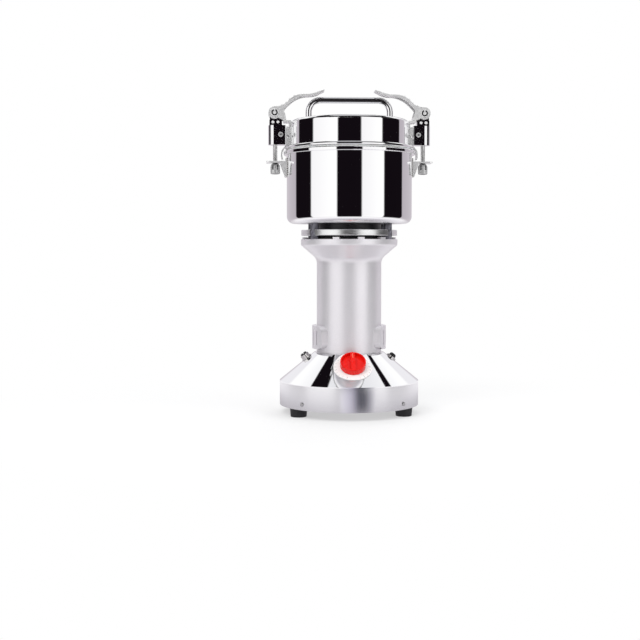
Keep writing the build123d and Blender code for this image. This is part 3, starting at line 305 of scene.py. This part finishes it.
def new_finish(name, colour, metallic=0.0, roughness=0.5, **sockets):
    """A finish for one material of the mill, even all over until it is given a pattern."""
    finish = bpy.data.materials.new(name)
    finish.use_nodes = True
    shader = finish.node_tree.nodes["Principled BSDF"]
    shader.inputs["Base Color"].default_value = (*colour, 1.0)
    shader.inputs["Metallic"].default_value = metallic
    shader.inputs["Roughness"].default_value = roughness
    for socket, value in sockets.items():
        shader.inputs[socket.replace("_", " ")].default_value = value
    return finish


def pattern(finish, kind="ShaderNodeTexNoise", stretch=(1, 1, 1), **sockets):
    """A texture on object coordinates, stretched along an axis for a brushed grain."""
    nodes, links = finish.node_tree.nodes, finish.node_tree.links
    where = nodes.new("ShaderNodeTexCoord")
    mapping = nodes.new("ShaderNodeMapping")
    mapping.inputs["Scale"].default_value = stretch
    texture = nodes.new(kind)
    links.new(where.outputs["Object"], mapping.inputs["Vector"])
    links.new(mapping.outputs["Vector"], texture.inputs["Vector"])
    for socket, value in sockets.items():
        texture.inputs[socket].default_value = value
    return texture.outputs["Distance" if kind == "ShaderNodeTexVoronoi" else "Fac"]


def height(finish):
    """The height above the table, for a finish that changes on the way up."""
    nodes, links = finish.node_tree.nodes, finish.node_tree.links
    where = nodes.new("ShaderNodeTexCoord")
    split = nodes.new("ShaderNodeSeparateXYZ")
    links.new(where.outputs["Object"], split.inputs[0])
    return split.outputs[2]


def drive(finish, socket, source, low, high, start=0.3, end=0.7):
    """Runs a shader socket between two values, or two colours, along a pattern."""
    nodes, links = finish.node_tree.nodes, finish.node_tree.links
    target = nodes["Principled BSDF"].inputs[socket]
    if isinstance(low, tuple):
        ramp = nodes.new("ShaderNodeValToRGB")
        ramp.color_ramp.elements[0].position = start
        ramp.color_ramp.elements[1].position = end
        ramp.color_ramp.elements[0].color = (*low, 1)
        ramp.color_ramp.elements[1].color = (*high, 1)
        links.new(source, ramp.inputs["Fac"])
        links.new(ramp.outputs["Color"], target)
        return
    span = nodes.new("ShaderNodeMapRange")
    span.inputs["From Min"].default_value = start
    span.inputs["From Max"].default_value = end
    span.inputs["To Min"].default_value = low
    span.inputs["To Max"].default_value = high
    links.new(source, span.inputs["Value"])
    links.new(span.outputs["Result"], target)


def bump(finish, source, depth, strength=1.0):
    """Raises the surface by a pattern, to a depth in metres."""
    nodes, links = finish.node_tree.nodes, finish.node_tree.links
    relief = nodes.new("ShaderNodeBump")
    relief.inputs["Distance"].default_value = depth
    relief.inputs["Strength"].default_value = strength
    links.new(source, relief.inputs["Height"])
    links.new(relief.outputs["Normal"], nodes["Principled BSDF"].inputs["Normal"])


def give(finish, *names):
    """Puts a finish on CAD nodes."""
    for name in names:
        data_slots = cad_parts[name].material_slots
        for data_slot in data_slots:
            data_slot.material = finish
        if not data_slots:
            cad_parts[name].data.materials.append(finish)


cover_steel = new_finish("cover_steel", (0.93, 0.93, 0.94), 1.0, 0.04)
crease_z = 42.0 * MM
satin, polish = 0.24, 0.035
satin_up_to, polish_from = crease_z - 1.2 * MM, crease_z - 0.2 * MM
turning = pattern(cover_steel, stretch=(1, 1, 900), Scale=2.0, Detail=2.0)
bump(cover_steel, turning, 0.00002, 0.2)
drive(cover_steel, "Roughness", height(cover_steel), satin, polish, satin_up_to, polish_from)
give(cover_steel, "base_cover")

# The pan closes the base from below and is held by small screws round the ring. Pan and
# screws are zinc-plated steel, slightly clouded.
zinc = new_finish("zinc_plate", (0.66, 0.66, 0.66), 1.0, 0.34)
drive(zinc, "Roughness", pattern(zinc, Scale=60.0, Detail=4.0), 0.26, 0.44)
drive(zinc, "Base Color", pattern(zinc, Scale=24.0, Detail=3.0),
      (0.60, 0.60, 0.61), (0.70, 0.70, 0.69))
give(zinc, "bottom_plate", "foot_screws", "ring_screws", "housing_screws")

# The four feet are turned from soft black rubber, and each is held under the pan by a
# screw up its middle.
foot_rubber = new_finish("foot_rubber_black", (0.016, 0.016, 0.017), 0.0, 0.55)
drive(foot_rubber, "Roughness", pattern(foot_rubber, Scale=160.0, Detail=4.0), 0.42, 0.66)
bump(foot_rubber, pattern(foot_rubber, Scale=500.0, Detail=2.0), 0.00006, 0.4)
give(foot_rubber, "feet")

# The dial is thin enamelled sheet stuck to the cone, with one printed tick every 15
# degrees round the knob and a longer one every 60.
dial_enamel = new_finish("dial_enamel_white", (0.90, 0.90, 0.89), 0.0, 0.34)
drive(dial_enamel, "Roughness", pattern(dial_enamel, Scale=160.0, Detail=2.0), 0.28, 0.42)
give(dial_enamel, "dial_plate")
cone_slope = radians(38.97)
knob_radius_at, knob_z = 61.02 * MM, 65.04 * MM
dial_face = 0.9 * MM
seat = Matrix((
    (1, 0, 0, 0),
    (0, cos(cone_slope), -sin(cone_slope), -knob_radius_at),
    (0, sin(cone_slope), cos(cone_slope), knob_z),
    (0, 0, 0, 1),
))
tick_ink = new_finish("tick_ink", (0.30, 0.30, 0.31), 0.0, 0.5)
drive(tick_ink, "Roughness", pattern(tick_ink, Scale=300.0), 0.42, 0.58)


def settle(piece, name, finish, body):
    """Names a new piece, puts its place into its mesh and lets it ride on its body."""
    piece.name = piece.data.name = name
    bpy.ops.object.select_all(action="DESELECT")
    piece.select_set(True)
    bpy.context.view_layer.objects.active = piece
    bpy.ops.object.transform_apply(location=True, rotation=True, scale=True)
    piece.data.materials.clear()
    piece.data.materials.append(finish)
    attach(piece, body)
    bpy.ops.object.select_all(action="DESELECT")


def joined(pieces):
    """One piece from several, all in place."""
    bpy.ops.object.select_all(action="DESELECT")
    for piece in pieces:
        piece.select_set(True)
    bpy.context.view_layer.objects.active = pieces[0]
    bpy.ops.object.join()
    bpy.ops.object.transform_apply(location=True, rotation=True, scale=True)
    return bpy.context.view_layer.objects.active


def rounded_bar(size, place, width, segments=2):
    """A bar of a size in its own frame, with its edges rounded, moved to a place."""
    bpy.ops.object.select_all(action="DESELECT")
    bpy.ops.mesh.primitive_cube_add(size=1.0)
    bar = bpy.context.object
    bar.scale = size
    bpy.ops.object.transform_apply(scale=True)
    bpy.ops.object.mode_set(mode="EDIT")
    bpy.ops.mesh.select_all(action="SELECT")
    bpy.ops.mesh.bevel(offset=width, segments=segments, affect="EDGES")
    bpy.ops.object.mode_set(mode="OBJECT")
    bar.matrix_world = place
    return bar


scale_sweep, tick_step, long_step = 315, 15, 60
cone_edge_radius = 89.5 * MM
tick_depth, tick_lift, tick_edge = 0.08 * MM, 0.03 * MM, 0.03 * MM
long_size, long_reach = (0.55 * MM, 3.4 * MM, tick_depth), 21.2 * MM
short_size, short_reach = (0.35 * MM, 2.2 * MM, tick_depth), 21.8 * MM
ticks = []
for degrees_round in range(0, scale_sweep + 1, tick_step):
    long_tick = degrees_round % long_step == 0
    size, reach = (long_size, long_reach) if long_tick else (short_size, short_reach)
    outward = radians(degrees_round - scale_sweep / 2)
    spot = seat @ Vector((reach * sin(outward), reach * cos(outward), 0))
    turned_to = atan2(spot.x, -spot.y)
    radius_at = hypot(spot.x, spot.y)
    flat = sin(cone_slope)
    normal = Vector((flat * sin(turned_to), -flat * cos(turned_to), cos(cone_slope)))
    spot.z = crease_z + (cone_edge_radius - radius_at) * tan(cone_slope)
    from_centre = spot - seat.translation
    along = (from_centre - from_centre.dot(normal) * normal).normalized()
    across = along.cross(normal)
    spot += (dial_face + tick_lift) * normal
    place = Matrix((across, along, normal)).transposed().to_4x4()
    place.translation = spot
    ticks.append(rounded_bar(size, place, tick_edge, 1))
settle(joined(ticks), "dial_ticks", tick_ink, "root")

# The knob is moulded in glossy red plastic, with a paler line inlaid in its grip where
# it points to the dial. The line's paler red is partly a painted highlight along the grip.
knob_plastic = new_finish("knob_plastic", (0.78, 0.008, 0.004), 0.0, 0.30, Specular_IOR_Level=0.30)
drive(knob_plastic, "Roughness", pattern(knob_plastic, Scale=130.0, Detail=2.0), 0.24, 0.34)
bump(knob_plastic, pattern(knob_plastic, Scale=90.0), 0.00003, 0.15)
give(knob_plastic, "knob")
knob_face, line_out, line_depth = 10.0 * MM, 9.6 * MM, 0.24 * MM
line_size, line_edge = (1.1 * MM, 7.9 * MM, 0.34 * MM), 0.08 * MM
# Paler red for the pointer line, which is also a painted highlight along the grip.
pointer_paint_and_highlight = new_finish("pointer_paint_and_highlight", (0.90, 0.16, 0.10), 0.0, 0.4)
drive(pointer_paint_and_highlight, "Roughness", pattern(pointer_paint_and_highlight, Scale=200.0), 0.34, 0.48)
line_place = seat @ Matrix.Translation((0, line_out, knob_face - line_depth))
pointer = rounded_bar(line_size, line_place, line_edge)
settle(pointer, "knob_pointer", pointer_paint_and_highlight, "knob")

# The timer, the fuse holder, the overload switch, the gland and the terminals are bought
# fittings, nickel-plated or moulded in black or cream. The motor's cooling fan is moulded
# in the same black.
nickel = new_finish("nickel_plate", (0.84, 0.83, 0.81), 1.0, 0.14)
drive(nickel, "Roughness", pattern(nickel, Scale=180.0, Detail=3.0), 0.10, 0.22)
give(nickel, "fuse_holder", "timer_nut", "timer_shaft", "reset_switch")
black_moulding = new_finish("black_moulding", (0.020, 0.020, 0.021), 0.0, 0.34)
drive(black_moulding, "Roughness", pattern(black_moulding, Scale=200.0, Detail=3.0), 0.26, 0.44)
bump(black_moulding, pattern(black_moulding, Scale=900.0), 0.00002, 0.3)
give(black_moulding, "fuse_cap", "cord_gland", "timer_body", "cooling_fan")
button_gloss = new_finish("button_gloss", (0.014, 0.014, 0.015), 0.0, 0.14)
drive(button_gloss, "Roughness", pattern(button_gloss, Scale=150.0), 0.10, 0.20)
give(button_gloss, "reset_button")
terminal_moulding = new_finish("terminal_moulding", (0.78, 0.74, 0.62), 0.0, 0.46)
drive(terminal_moulding, "Roughness", pattern(terminal_moulding, Scale=140.0, Detail=3.0),
      0.40, 0.54)
give(terminal_moulding, "terminal_block")

# Three small zinc-plated screws clamp the wires in the terminals. Each has a turned,
# chamfered head with a milled slot for the driver.
screws = []
screw_radius, screw_length, screw_edge = 1.8 * MM, 3.0 * MM, 0.2 * MM
slot_width, slot_depth, cutter_length = 0.5 * MM, 0.5 * MM, 5.0 * MM
terminal_pitch, terminal_y, terminal_z = 12.0 * MM, 44.75 * MM, 24.0 * MM
for step in (-1, 0, 1):
    bpy.ops.object.select_all(action="DESELECT")
    place = Vector((terminal_pitch * step, terminal_y, terminal_z))
    bpy.ops.mesh.primitive_cylinder_add(vertices=24, radius=screw_radius, depth=screw_length,
                                        location=place)
    screw = bpy.context.object
    bpy.ops.object.mode_set(mode="EDIT")
    bpy.ops.mesh.bevel(offset=screw_edge, segments=2, affect="EDGES")
    bpy.ops.object.mode_set(mode="OBJECT")
    bpy.ops.mesh.primitive_cube_add(size=1, scale=(slot_width, cutter_length, 2 * slot_depth),
                                    location=place + Vector((0, 0, screw_length / 2)))
    cutter = bpy.context.object
    milled = screw.modifiers.new("slot", "BOOLEAN")
    milled.object = cutter
    milled.solver = "EXACT"
    bpy.ops.object.select_all(action="DESELECT")
    bpy.context.view_layer.objects.active = screw
    bpy.ops.object.modifier_apply(modifier=milled.name)
    bpy.data.objects.remove(cutter)
    screws.append(screw)
settle(joined(screws), "terminal_screws", zinc, "root")

# The motor housing is cast aluminium under fine silver paint with small bright flakes,
# and the two louvred brush covers carry the same paint.
silver_paint = new_finish("silver_paint", (0.82, 0.80, 0.83), 0.50, 0.35)
flakes = pattern(silver_paint, "ShaderNodeTexVoronoi", Scale=2600.0)
drive(silver_paint, "Base Color", flakes, (0.88, 0.86, 0.89), (0.77, 0.75, 0.78), 0.1, 0.6)
drive(silver_paint, "Roughness", pattern(silver_paint, Scale=240.0, Detail=3.0), 0.32, 0.42)
bump(silver_paint, pattern(silver_paint, Scale=900.0, Detail=2.0), 0.00003, 0.35)
give(silver_paint, "motor_housing", "brush_covers")

# The lower bearing sits in a bridge across the housing, a plain aluminium die casting
# left rough from the mould.
cast_bridge = new_finish("cast_bridge", (0.60, 0.60, 0.61), 0.9, 0.45)
drive(cast_bridge, "Roughness", pattern(cast_bridge, Scale=120.0, Detail=3.0), 0.38, 0.54)
bump(cast_bridge, pattern(cast_bridge, Scale=260.0, Detail=3.0), 0.0001, 0.5)
give(cast_bridge, "bearing_bridge")

# The motor's shaft and its two bearings are ground steel. The blades' nut and spacer
# are turned from the same bar.
ground_steel = new_finish("ground_steel", (0.74, 0.74, 0.75), 1.0, 0.24)
grain = pattern(ground_steel, stretch=(1, 1, 14), Scale=90.0, Detail=3.0)
drive(ground_steel, "Roughness", grain, 0.18, 0.34)
give(ground_steel, "motor_shaft", "bearings", "blade_nut", "blade_spacer")

# The cores of stator and armature are stacks of thin electrical steel sheets, punched
# and pressed together.
laminations = new_finish("laminations", (0.27, 0.27, 0.28), 0.85, 0.42)
sheets = pattern(laminations, stretch=(1, 1, 60), Scale=32.0)
drive(laminations, "Base Color", sheets, (0.20, 0.20, 0.21), (0.34, 0.34, 0.35))
bump(laminations, sheets, 0.0001, 0.4)
give(laminations, "stator_core", "armature_core")

# The coils are wound from lacquered copper wire, and the commutator's bars are bare
# copper worn bright by the brushes.
lacquered_copper = new_finish("lacquered_copper", (0.55, 0.20, 0.08), 0.85, 0.30, Coat_Weight=0.5)
strands = pattern(lacquered_copper, stretch=(1, 1, 40), Scale=60.0, Detail=2.0)
drive(lacquered_copper, "Base Color", strands, (0.40, 0.13, 0.05), (0.66, 0.27, 0.11))
bump(lacquered_copper, strands, 0.0003, 0.6)
give(lacquered_copper, "stator_windings", "armature_windings")
bar_copper = new_finish("bar_copper", (0.68, 0.33, 0.18), 1.0, 0.28)
drive(bar_copper, "Roughness", pattern(bar_copper, stretch=(1, 1, 10), Scale=80.0), 0.20, 0.38)
give(bar_copper, "commutator")

# The two brushes are blocks of pressed carbon. Each slides in a brass box behind its
# cover.
pressed_carbon = new_finish("pressed_carbon", (0.03, 0.03, 0.03), 0.0, 0.60)
drive(pressed_carbon, "Roughness", pattern(pressed_carbon, Scale=300.0), 0.50, 0.70)
give(pressed_carbon, "carbon_brushes")
box_brass = new_finish("box_brass", (0.72, 0.54, 0.24), 1.0, 0.30)
drive(box_brass, "Roughness", pattern(box_brass, Scale=120.0, Detail=3.0), 0.22, 0.40)
give(box_brass, "brush_holders")

# The neck gasket is a ring of matt black rubber, clamped between the housing's rim and
# the mounting plate.
gasket_rubber = new_finish("gasket_rubber", (0.012, 0.012, 0.013), 0.0, 0.75)
drive(gasket_rubber, "Roughness", pattern(gasket_rubber, Scale=200.0), 0.66, 0.84)
give(gasket_rubber, "neck_gasket")

# The mounting plate is a thick steel disc with a turned and polished edge. It closes
# the motor housing and carries the posts.
plate_edge = new_finish("plate_edge", (0.92, 0.93, 0.93), 0.95, 0.20)
grain = pattern(plate_edge, stretch=(1, 1, 8), Scale=90.0, Detail=3.0)
drive(plate_edge, "Roughness", grain, 0.26, 0.34)
give(plate_edge, "mounting_plate")

# The four posts that carry the bowl are dark grey rubber, mottled with bloom, each on a
# zinc-plated bolt.
post_rubber = new_finish("post_rubber_grey", (0.06, 0.06, 0.065), 0.0, 0.62)
drive(post_rubber, "Base Color", pattern(post_rubber, Scale=260.0, Detail=4.0),
      (0.050, 0.048, 0.060), (0.20, 0.195, 0.23), 0.36, 0.70)
bump(post_rubber, pattern(post_rubber, Scale=420.0, Detail=3.0), 0.00012, 0.5)
give(post_rubber, "isolator_posts")
give(zinc, "post_bolts")

# The hub under the bowl is moulded in dark plastic with a slight sheen. The shaft runs
# up through its middle.
hub_plastic = new_finish("hub_plastic", (0.012, 0.012, 0.016), 0.0, 0.44)
drive(hub_plastic, "Roughness", pattern(hub_plastic, Scale=180.0, Detail=3.0), 0.38, 0.52)
bump(hub_plastic, pattern(hub_plastic, Scale=700.0), 0.00002, 0.3)
give(hub_plastic, "bowl_hub")

# The seal round the shaft and the seal ring in the lid are moulded in pale silicone,
# and are held by their own grip.
silicone = new_finish("silicone", (0.74, 0.73, 0.71), 0.0, 0.42, Subsurface_Weight=0.1)
drive(silicone, "Roughness", pattern(silicone, Scale=90.0, Detail=3.0), 0.36, 0.52)
give(silicone, "lid_seal", "shaft_seal")

# The bowl is deep-drawn stainless steel, polished to a mirror, with the faintest
# waviness left from the draw. Its underside is only brushed.
bowl_steel = new_finish("bowl_steel", (0.94, 0.94, 0.95), 1.0, 0.03)
underside_z, turn_up = 244.5 * MM, 4.0 * MM
brushed, mirror = 0.34, 0.03
drive(bowl_steel, "Roughness", height(bowl_steel), brushed, mirror,
      underside_z, underside_z + turn_up)
bump(bowl_steel, pattern(bowl_steel, stretch=(1, 1, 0.4), Scale=9.0, Detail=1.0), 0.00012, 0.12)
give(bowl_steel, "bowl")

# The brackets on bowl and lid are cut from bright steel sheet and barrel-polished, softer
# than the bowl. Those on the bowl are held by a run of weld spots down both edges.
barrelled_steel = new_finish("barrelled_steel", (0.97, 0.97, 0.97), 0.55, 0.28)
drive(barrelled_steel, "Roughness", pattern(barrelled_steel, Scale=120.0, Detail=4.0), 0.22, 0.36)
bump(barrelled_steel, pattern(barrelled_steel, Scale=400.0, Detail=2.0), 0.00003, 0.3)
give(barrelled_steel, "bowl_brackets", "lid_brackets")
weld_steel = new_finish("weld_steel", (0.70, 0.69, 0.68), 1.0, 0.30)
drive(weld_steel, "Base Color", pattern(weld_steel, Scale=240.0, Detail=3.0),
      (0.60, 0.58, 0.57), (0.78, 0.77, 0.75))
drive(weld_steel, "Roughness", pattern(weld_steel, Scale=200.0), 0.22, 0.40)
weld_low, weld_pitch, weld_count = 304.0 * MM, 2.6 * MM, 9
weld_radii = (0.75, 0.95, 1.5)
bracket_half_width, bowl_radius = 11.5 * MM, 80.4 * MM
weld_angle = asin(bracket_half_width / bowl_radius)
runs = []
for side in (0, pi):
    for turned in (side - weld_angle, side + weld_angle):
        bpy.ops.object.select_all(action="DESELECT")
        spot = Vector((bowl_radius * cos(turned), bowl_radius * sin(turned), weld_low))
        bpy.ops.mesh.primitive_uv_sphere_add(segments=16, ring_count=8, radius=MM, location=spot)
        run = bpy.context.object
        run.scale = weld_radii
        run.rotation_euler = (0, 0, turned)
        bpy.ops.object.transform_apply(scale=True)
        array = run.modifiers.new("run", "ARRAY")
        array.use_relative_offset = False
        array.use_constant_offset = True
        array.constant_offset_displace = (0, 0, weld_pitch)
        array.count = weld_count
        bpy.ops.object.modifier_apply(modifier="run")
        runs.append(run)
settle(joined(runs), "bracket_welds", weld_steel, "root")

# Two blades of ground steel sit crossed on the shaft, a spacer apart, and a plain nut
# holds them down.
ground_blade = new_finish("ground_blade", (0.80, 0.80, 0.81), 1.0, 0.20)
grain = pattern(ground_blade, stretch=(12, 1, 1), Scale=70.0, Detail=3.0)
drive(ground_blade, "Roughness", grain, 0.14, 0.30)
give(ground_blade, "lower_blade", "upper_blade")

# The lid is drawn from the same steel as the bowl and polished. Its edge is rolled
# outwards into a flange that lies on the bowl's rim.
lid_steel = new_finish("lid_steel", (0.94, 0.94, 0.95), 1.0, 0.03)
drive(lid_steel, "Roughness", pattern(lid_steel, Scale=16.0, Detail=3.0), 0.02, 0.05)
bump(lid_steel, pattern(lid_steel, stretch=(1, 1, 0.5), Scale=10.0, Detail=1.0), 0.00012, 0.12)
give(lid_steel, "lid")

# The carry handle is a bent polished bar. Each leg stands on a round flange and is held
# to it by a rippled ring of weld.
handle_bar = new_finish("handle_bar", (0.92, 0.92, 0.93), 1.0, 0.07)
drive(handle_bar, "Roughness", pattern(handle_bar, stretch=(1, 8, 8), Scale=60.0), 0.03, 0.07)
give(handle_bar, "lid_handle", "handle_flanges")
lid_top_z, handle_half_span, weld_lift = 373.9 * MM, 52.0 * MM, 1.6 * MM
ring_radius, bead_radius = 4.2 * MM, 0.8 * MM
ripples, ripple_depth = 18, 0.22 * MM
rings = []
for side in (-1, 1):
    bpy.ops.object.select_all(action="DESELECT")
    bpy.ops.mesh.primitive_torus_add(
        major_segments=2 * ripples, minor_segments=10, major_radius=ring_radius,
        minor_radius=bead_radius, location=(side * handle_half_span, 0, lid_top_z + weld_lift))
    weld = bpy.context.object
    bpy.ops.object.transform_apply(location=True)

    def in_hollow(corner):
        """Whether a corner of this ring lies in a hollow between two ripples."""
        turned = atan2(corner.co.y, corner.co.x - side * handle_half_span)
        return round(turned / (pi / ripples)) % 2 == 0

    opened(weld, in_hollow, corners=True)
    bpy.ops.transform.shrink_fatten(value=-ripple_depth)
    bpy.ops.object.mode_set(mode="OBJECT")
    rings.append(weld)
settle(joined(rings), "handle_welds", weld_steel, "lid")

# Each clamp hangs on a threaded rod: a rolled thread of 1 mm pitch, with its lower end
# in the nut and its upper end in the block.
thread_steel = new_finish("thread_steel", (0.84, 0.84, 0.83), 1.0, 0.20)
drive(thread_steel, "Roughness", pattern(thread_steel, Scale=220.0, Detail=3.0), 0.15, 0.30)
give(thread_steel, "clamp_rod_left", "clamp_rod_right")


def by_distance(finish, centre, flatten, low, high, start, end):
    """Changes the colour with the distance from an axis, to paint shade inside a slot or a socket.
    """
    nodes, links = finish.node_tree.nodes, finish.node_tree.links
    where = nodes.new("ShaderNodeTexCoord")
    centred = nodes.new("ShaderNodeMapping")
    moved = [-place * keep for place, keep in zip(centre, flatten)]
    centred.inputs["Location"].default_value = moved
    centred.inputs["Scale"].default_value = flatten
    apart = nodes.new("ShaderNodeVectorMath")
    apart.operation = "LENGTH"
    links.new(where.outputs["Object"], centred.inputs["Vector"])
    links.new(centred.outputs["Vector"], apart.inputs[0])
    drive(finish, "Base Color", apart.outputs["Value"], low, high, start, end)


rod_x, rod_low, rod_high = 94.7 * MM, 307.03 * MM, 350.8 * MM
pitch, crest, core = 1.0 * MM, 2.9 * MM, 2.45 * MM
flank = ((core, 0.06), (crest, 0.20), (crest, 0.80), (core, 0.94), (core, 1.0))
spare_turns, merge_within, cut_within = 3, 0.01 * MM, 0.001 * MM
for side, name in ((-1, "left"), (1, "right")):
    bpy.ops.object.select_all(action="DESELECT")
    bpy.ops.mesh.primitive_plane_add(size=MM)
    rod = bpy.context.object
    bpy.ops.object.mode_set(mode="EDIT")
    bpy.ops.mesh.select_all(action="SELECT")
    bpy.ops.mesh.merge(type="CENTER")
    bpy.ops.transform.translate(value=(core, 0, 0))
    reached = Vector((core, 0))
    for radius, share in flank:
        step = Vector((radius, share * pitch)) - reached
        bpy.ops.mesh.extrude_region_move(TRANSFORM_OT_translate={"value": (step.x, 0, step.y)})
        reached += step
    bpy.ops.object.mode_set(mode="OBJECT")
    turns = int((rod_high - rod_low) / pitch) + spare_turns
    helix = rod.modifiers.new("helix", "SCREW")
    helix.screw_offset = pitch
    helix.iterations = turns
    helix.steps = helix.render_steps = 24
    helix.use_merge_vertices = True
    helix.merge_threshold = merge_within
    bpy.ops.object.modifier_apply(modifier="helix")
    rod.location = (side * rod_x, 0, rod_low - spare_turns / 2 * pitch)
    bpy.ops.object.transform_apply(location=True)
    bpy.ops.object.mode_set(mode="EDIT")
    bpy.ops.mesh.select_all(action="SELECT")
    bpy.ops.mesh.remove_doubles(threshold=merge_within)
    bpy.ops.mesh.bisect(plane_co=(0, 0, rod_low), plane_no=(0, 0, 1), threshold=cut_within,
                        use_fill=True, clear_inner=True)
    bpy.ops.mesh.select_all(action="SELECT")
    bpy.ops.mesh.bisect(plane_co=(0, 0, rod_high), plane_no=(0, 0, 1), threshold=cut_within,
                        use_fill=True, clear_outer=True)
    bpy.ops.mesh.select_all(action="SELECT")
    bpy.ops.mesh.normals_make_consistent(inside=False)
    bpy.ops.object.mode_set(mode="OBJECT")
    settle(rod, f"threaded_rod_{name}", thread_steel, f"clamp_{name}")
    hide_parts(f"clamp_rod_{name}")

# The adjusting nuts are turned from bright steel. The slots that take a spanner are
# painted black inside as shade, and the steel outside them is left bright.
nut_groove, groove_edge = 5.0 * MM, 0.1 * MM
# Black painted into slots and sockets as shade.
painted_shade_black = (0.03, 0.03, 0.03)
for name, rod_at in (("left", -rod_x), ("right", rod_x)):
    nut_steel = new_finish(f"nut_steel_{name}", (0.97, 0.97, 0.97), 0.50, 0.30)
    grain = pattern(nut_steel, stretch=(1, 1, 4), Scale=180.0, Detail=3.0)
    drive(nut_steel, "Roughness", grain, 0.28, 0.42)
    by_distance(nut_steel, (rod_at, 0, 0), (1, 1, 0), painted_shade_black, (0.97, 0.97, 0.97),
                nut_groove - groove_edge, nut_groove)
    give(nut_steel, f"clamp_nut_{name}")

# The blocks are milled bar, polished on every face. Two domed rivets show on both faces
# of each block's knuckle, and a screw in its front whose socket is painted black as shade.
block_steel = new_finish("block_steel", (0.90, 0.90, 0.91), 1.0, 0.09)
grain = pattern(block_steel, stretch=(1, 1, 6), Scale=140.0, Detail=3.0)
drive(block_steel, "Roughness", grain, 0.06, 0.14)
give(block_steel, "clamp_block_left", "clamp_block_right")
rivet_steel = new_finish("rivet_steel", (0.95, 0.95, 0.95), 0.45, 0.30)
drive(rivet_steel, "Roughness", pattern(rivet_steel, Scale=200.0), 0.24, 0.38)
screw_x, screw_z = 87.77 * MM, 355.54 * MM
socket_radius, socket_edge = 1.8 * MM, 0.3 * MM
for name, screw_at in (("left", -screw_x), ("right", screw_x)):
    screw_steel = new_finish(f"screw_steel_{name}", (0.95, 0.95, 0.95), 0.35, 0.30)
    drive(screw_steel, "Roughness", pattern(screw_steel, Scale=200.0), 0.24, 0.38)
    # The socket is painted black as shade; the head round it stays bright.
    by_distance(screw_steel, (screw_at, 0, screw_z), (1, 0, 1), painted_shade_black, (0.95, 0.95, 0.95),
                socket_radius - socket_edge, socket_radius)
    give(screw_steel, f"clamp_screw_{name}")
knuckle_y, rivet_radius, rivet_height = 6.9 * MM, 1.9 * MM, 1.1 * MM
rivet_dome, rivet_out = 0.9 * rivet_height, 0.45 * rivet_height
inner_rivet, outer_rivet, rivet_z = 91.2 * MM, 97.6 * MM, 371.2 * MM
for side, name in ((-1, "left"), (1, "right")):
    rivets = []
    for rivet_x, face_side in (
        (inner_rivet, -1), (outer_rivet, -1), (inner_rivet, 1), (outer_rivet, 1),
    ):
        bpy.ops.object.select_all(action="DESELECT")
        bpy.ops.mesh.primitive_cylinder_add(vertices=32, radius=rivet_radius, depth=rivet_height)
        rivet = bpy.context.object
        opened(rivet, lambda face: face.normal.z > 0.9)
        bpy.ops.mesh.bevel(offset=rivet_dome, segments=5, affect="EDGES")
        bpy.ops.object.mode_set(mode="OBJECT")
        rivet.rotation_euler = (radians(-90 * face_side), 0, 0)
        rivet.location = (side * rivet_x, face_side * (knuckle_y + rivet_out), rivet_z)
        rivets.append(rivet)
    settle(joined(rivets), f"knuckle_rivets_{name}", rivet_steel, f"clamp_{name}")

# The levers are pressed from bright steel sheet, with four grip ridges across the
# shoulder. Each pin is riveted over, with a black spring ring sprung into its head.
lever_steel = new_finish("lever_steel", (0.95, 0.95, 0.95), 0.60, 0.30)
drive(lever_steel, "Base Color", pattern(lever_steel, Scale=230.0, Detail=4.0),
      (0.90, 0.90, 0.90), (0.99, 0.99, 0.99), 0.35, 0.65)
grain = pattern(lever_steel, stretch=(1, 6, 1), Scale=160.0, Detail=4.0)
drive(lever_steel, "Roughness", grain, 0.30, 0.44)
give(lever_steel, "clamp_lever_left", "clamp_lever_right")
give(rivet_steel, "lever_pin_left", "lever_pin_right")
black_oxide = new_finish("black_oxide", (0.02, 0.02, 0.022), 0.6, 0.30)
drive(black_oxide, "Roughness", pattern(black_oxide, Scale=260.0), 0.24, 0.40)
pin_face, clip_radius, clip_wire, clip_gap = 10.6 * MM, 3.2 * MM, 0.9 * MM, radians(14)
pivot_x, pivot_z = 95.5 * MM, 383.0 * MM
ridge_places = ((9.6, 9.0), (15.2, 12.6), (19.5, 17.0), (25.6, 20.9))
ridge_size, ridge_edge, ridge_lean = (3.0 * MM, 16.6 * MM, 2.0 * MM), 0.9 * MM, radians(45)
for side, name in ((-1, "left"), (1, "right")):
    ridges = []
    for inward, up in ridge_places:
        place = (Matrix.Translation((side * (pivot_x - inward * MM), 0, pivot_z + up * MM))
                 @ Matrix.Rotation(-side * ridge_lean, 4, "Y"))
        ridges.append(rounded_bar(ridge_size, place, ridge_edge, 4))
    settle(joined(ridges), f"lever_ridges_{name}", lever_steel, f"lever_{name}")
    clips = []
    for face_side in (-1, 1):
        bpy.ops.object.select_all(action="DESELECT")
        bpy.ops.mesh.primitive_torus_add(
            major_segments=40, minor_segments=12, major_radius=clip_radius, minor_radius=clip_wire,
            location=(side * pivot_x, face_side * pin_face, pivot_z), rotation=(radians(90), 0, 0))
        clip = bpy.context.object
        opened(clip, lambda face: abs(atan2(face.center.x, face.center.y)) < clip_gap)
        bpy.ops.mesh.delete(type="FACE")
        bpy.ops.mesh.select_all(action="SELECT")
        bpy.ops.mesh.fill_holes(sides=0)
        bpy.ops.mesh.select_all(action="SELECT")
        bpy.ops.mesh.normals_make_consistent(inside=False)
        bpy.ops.object.mode_set(mode="OBJECT")
        clips.append(clip)
    settle(joined(clips), f"pin_clips_{name}", black_oxide, f"lever_{name}")
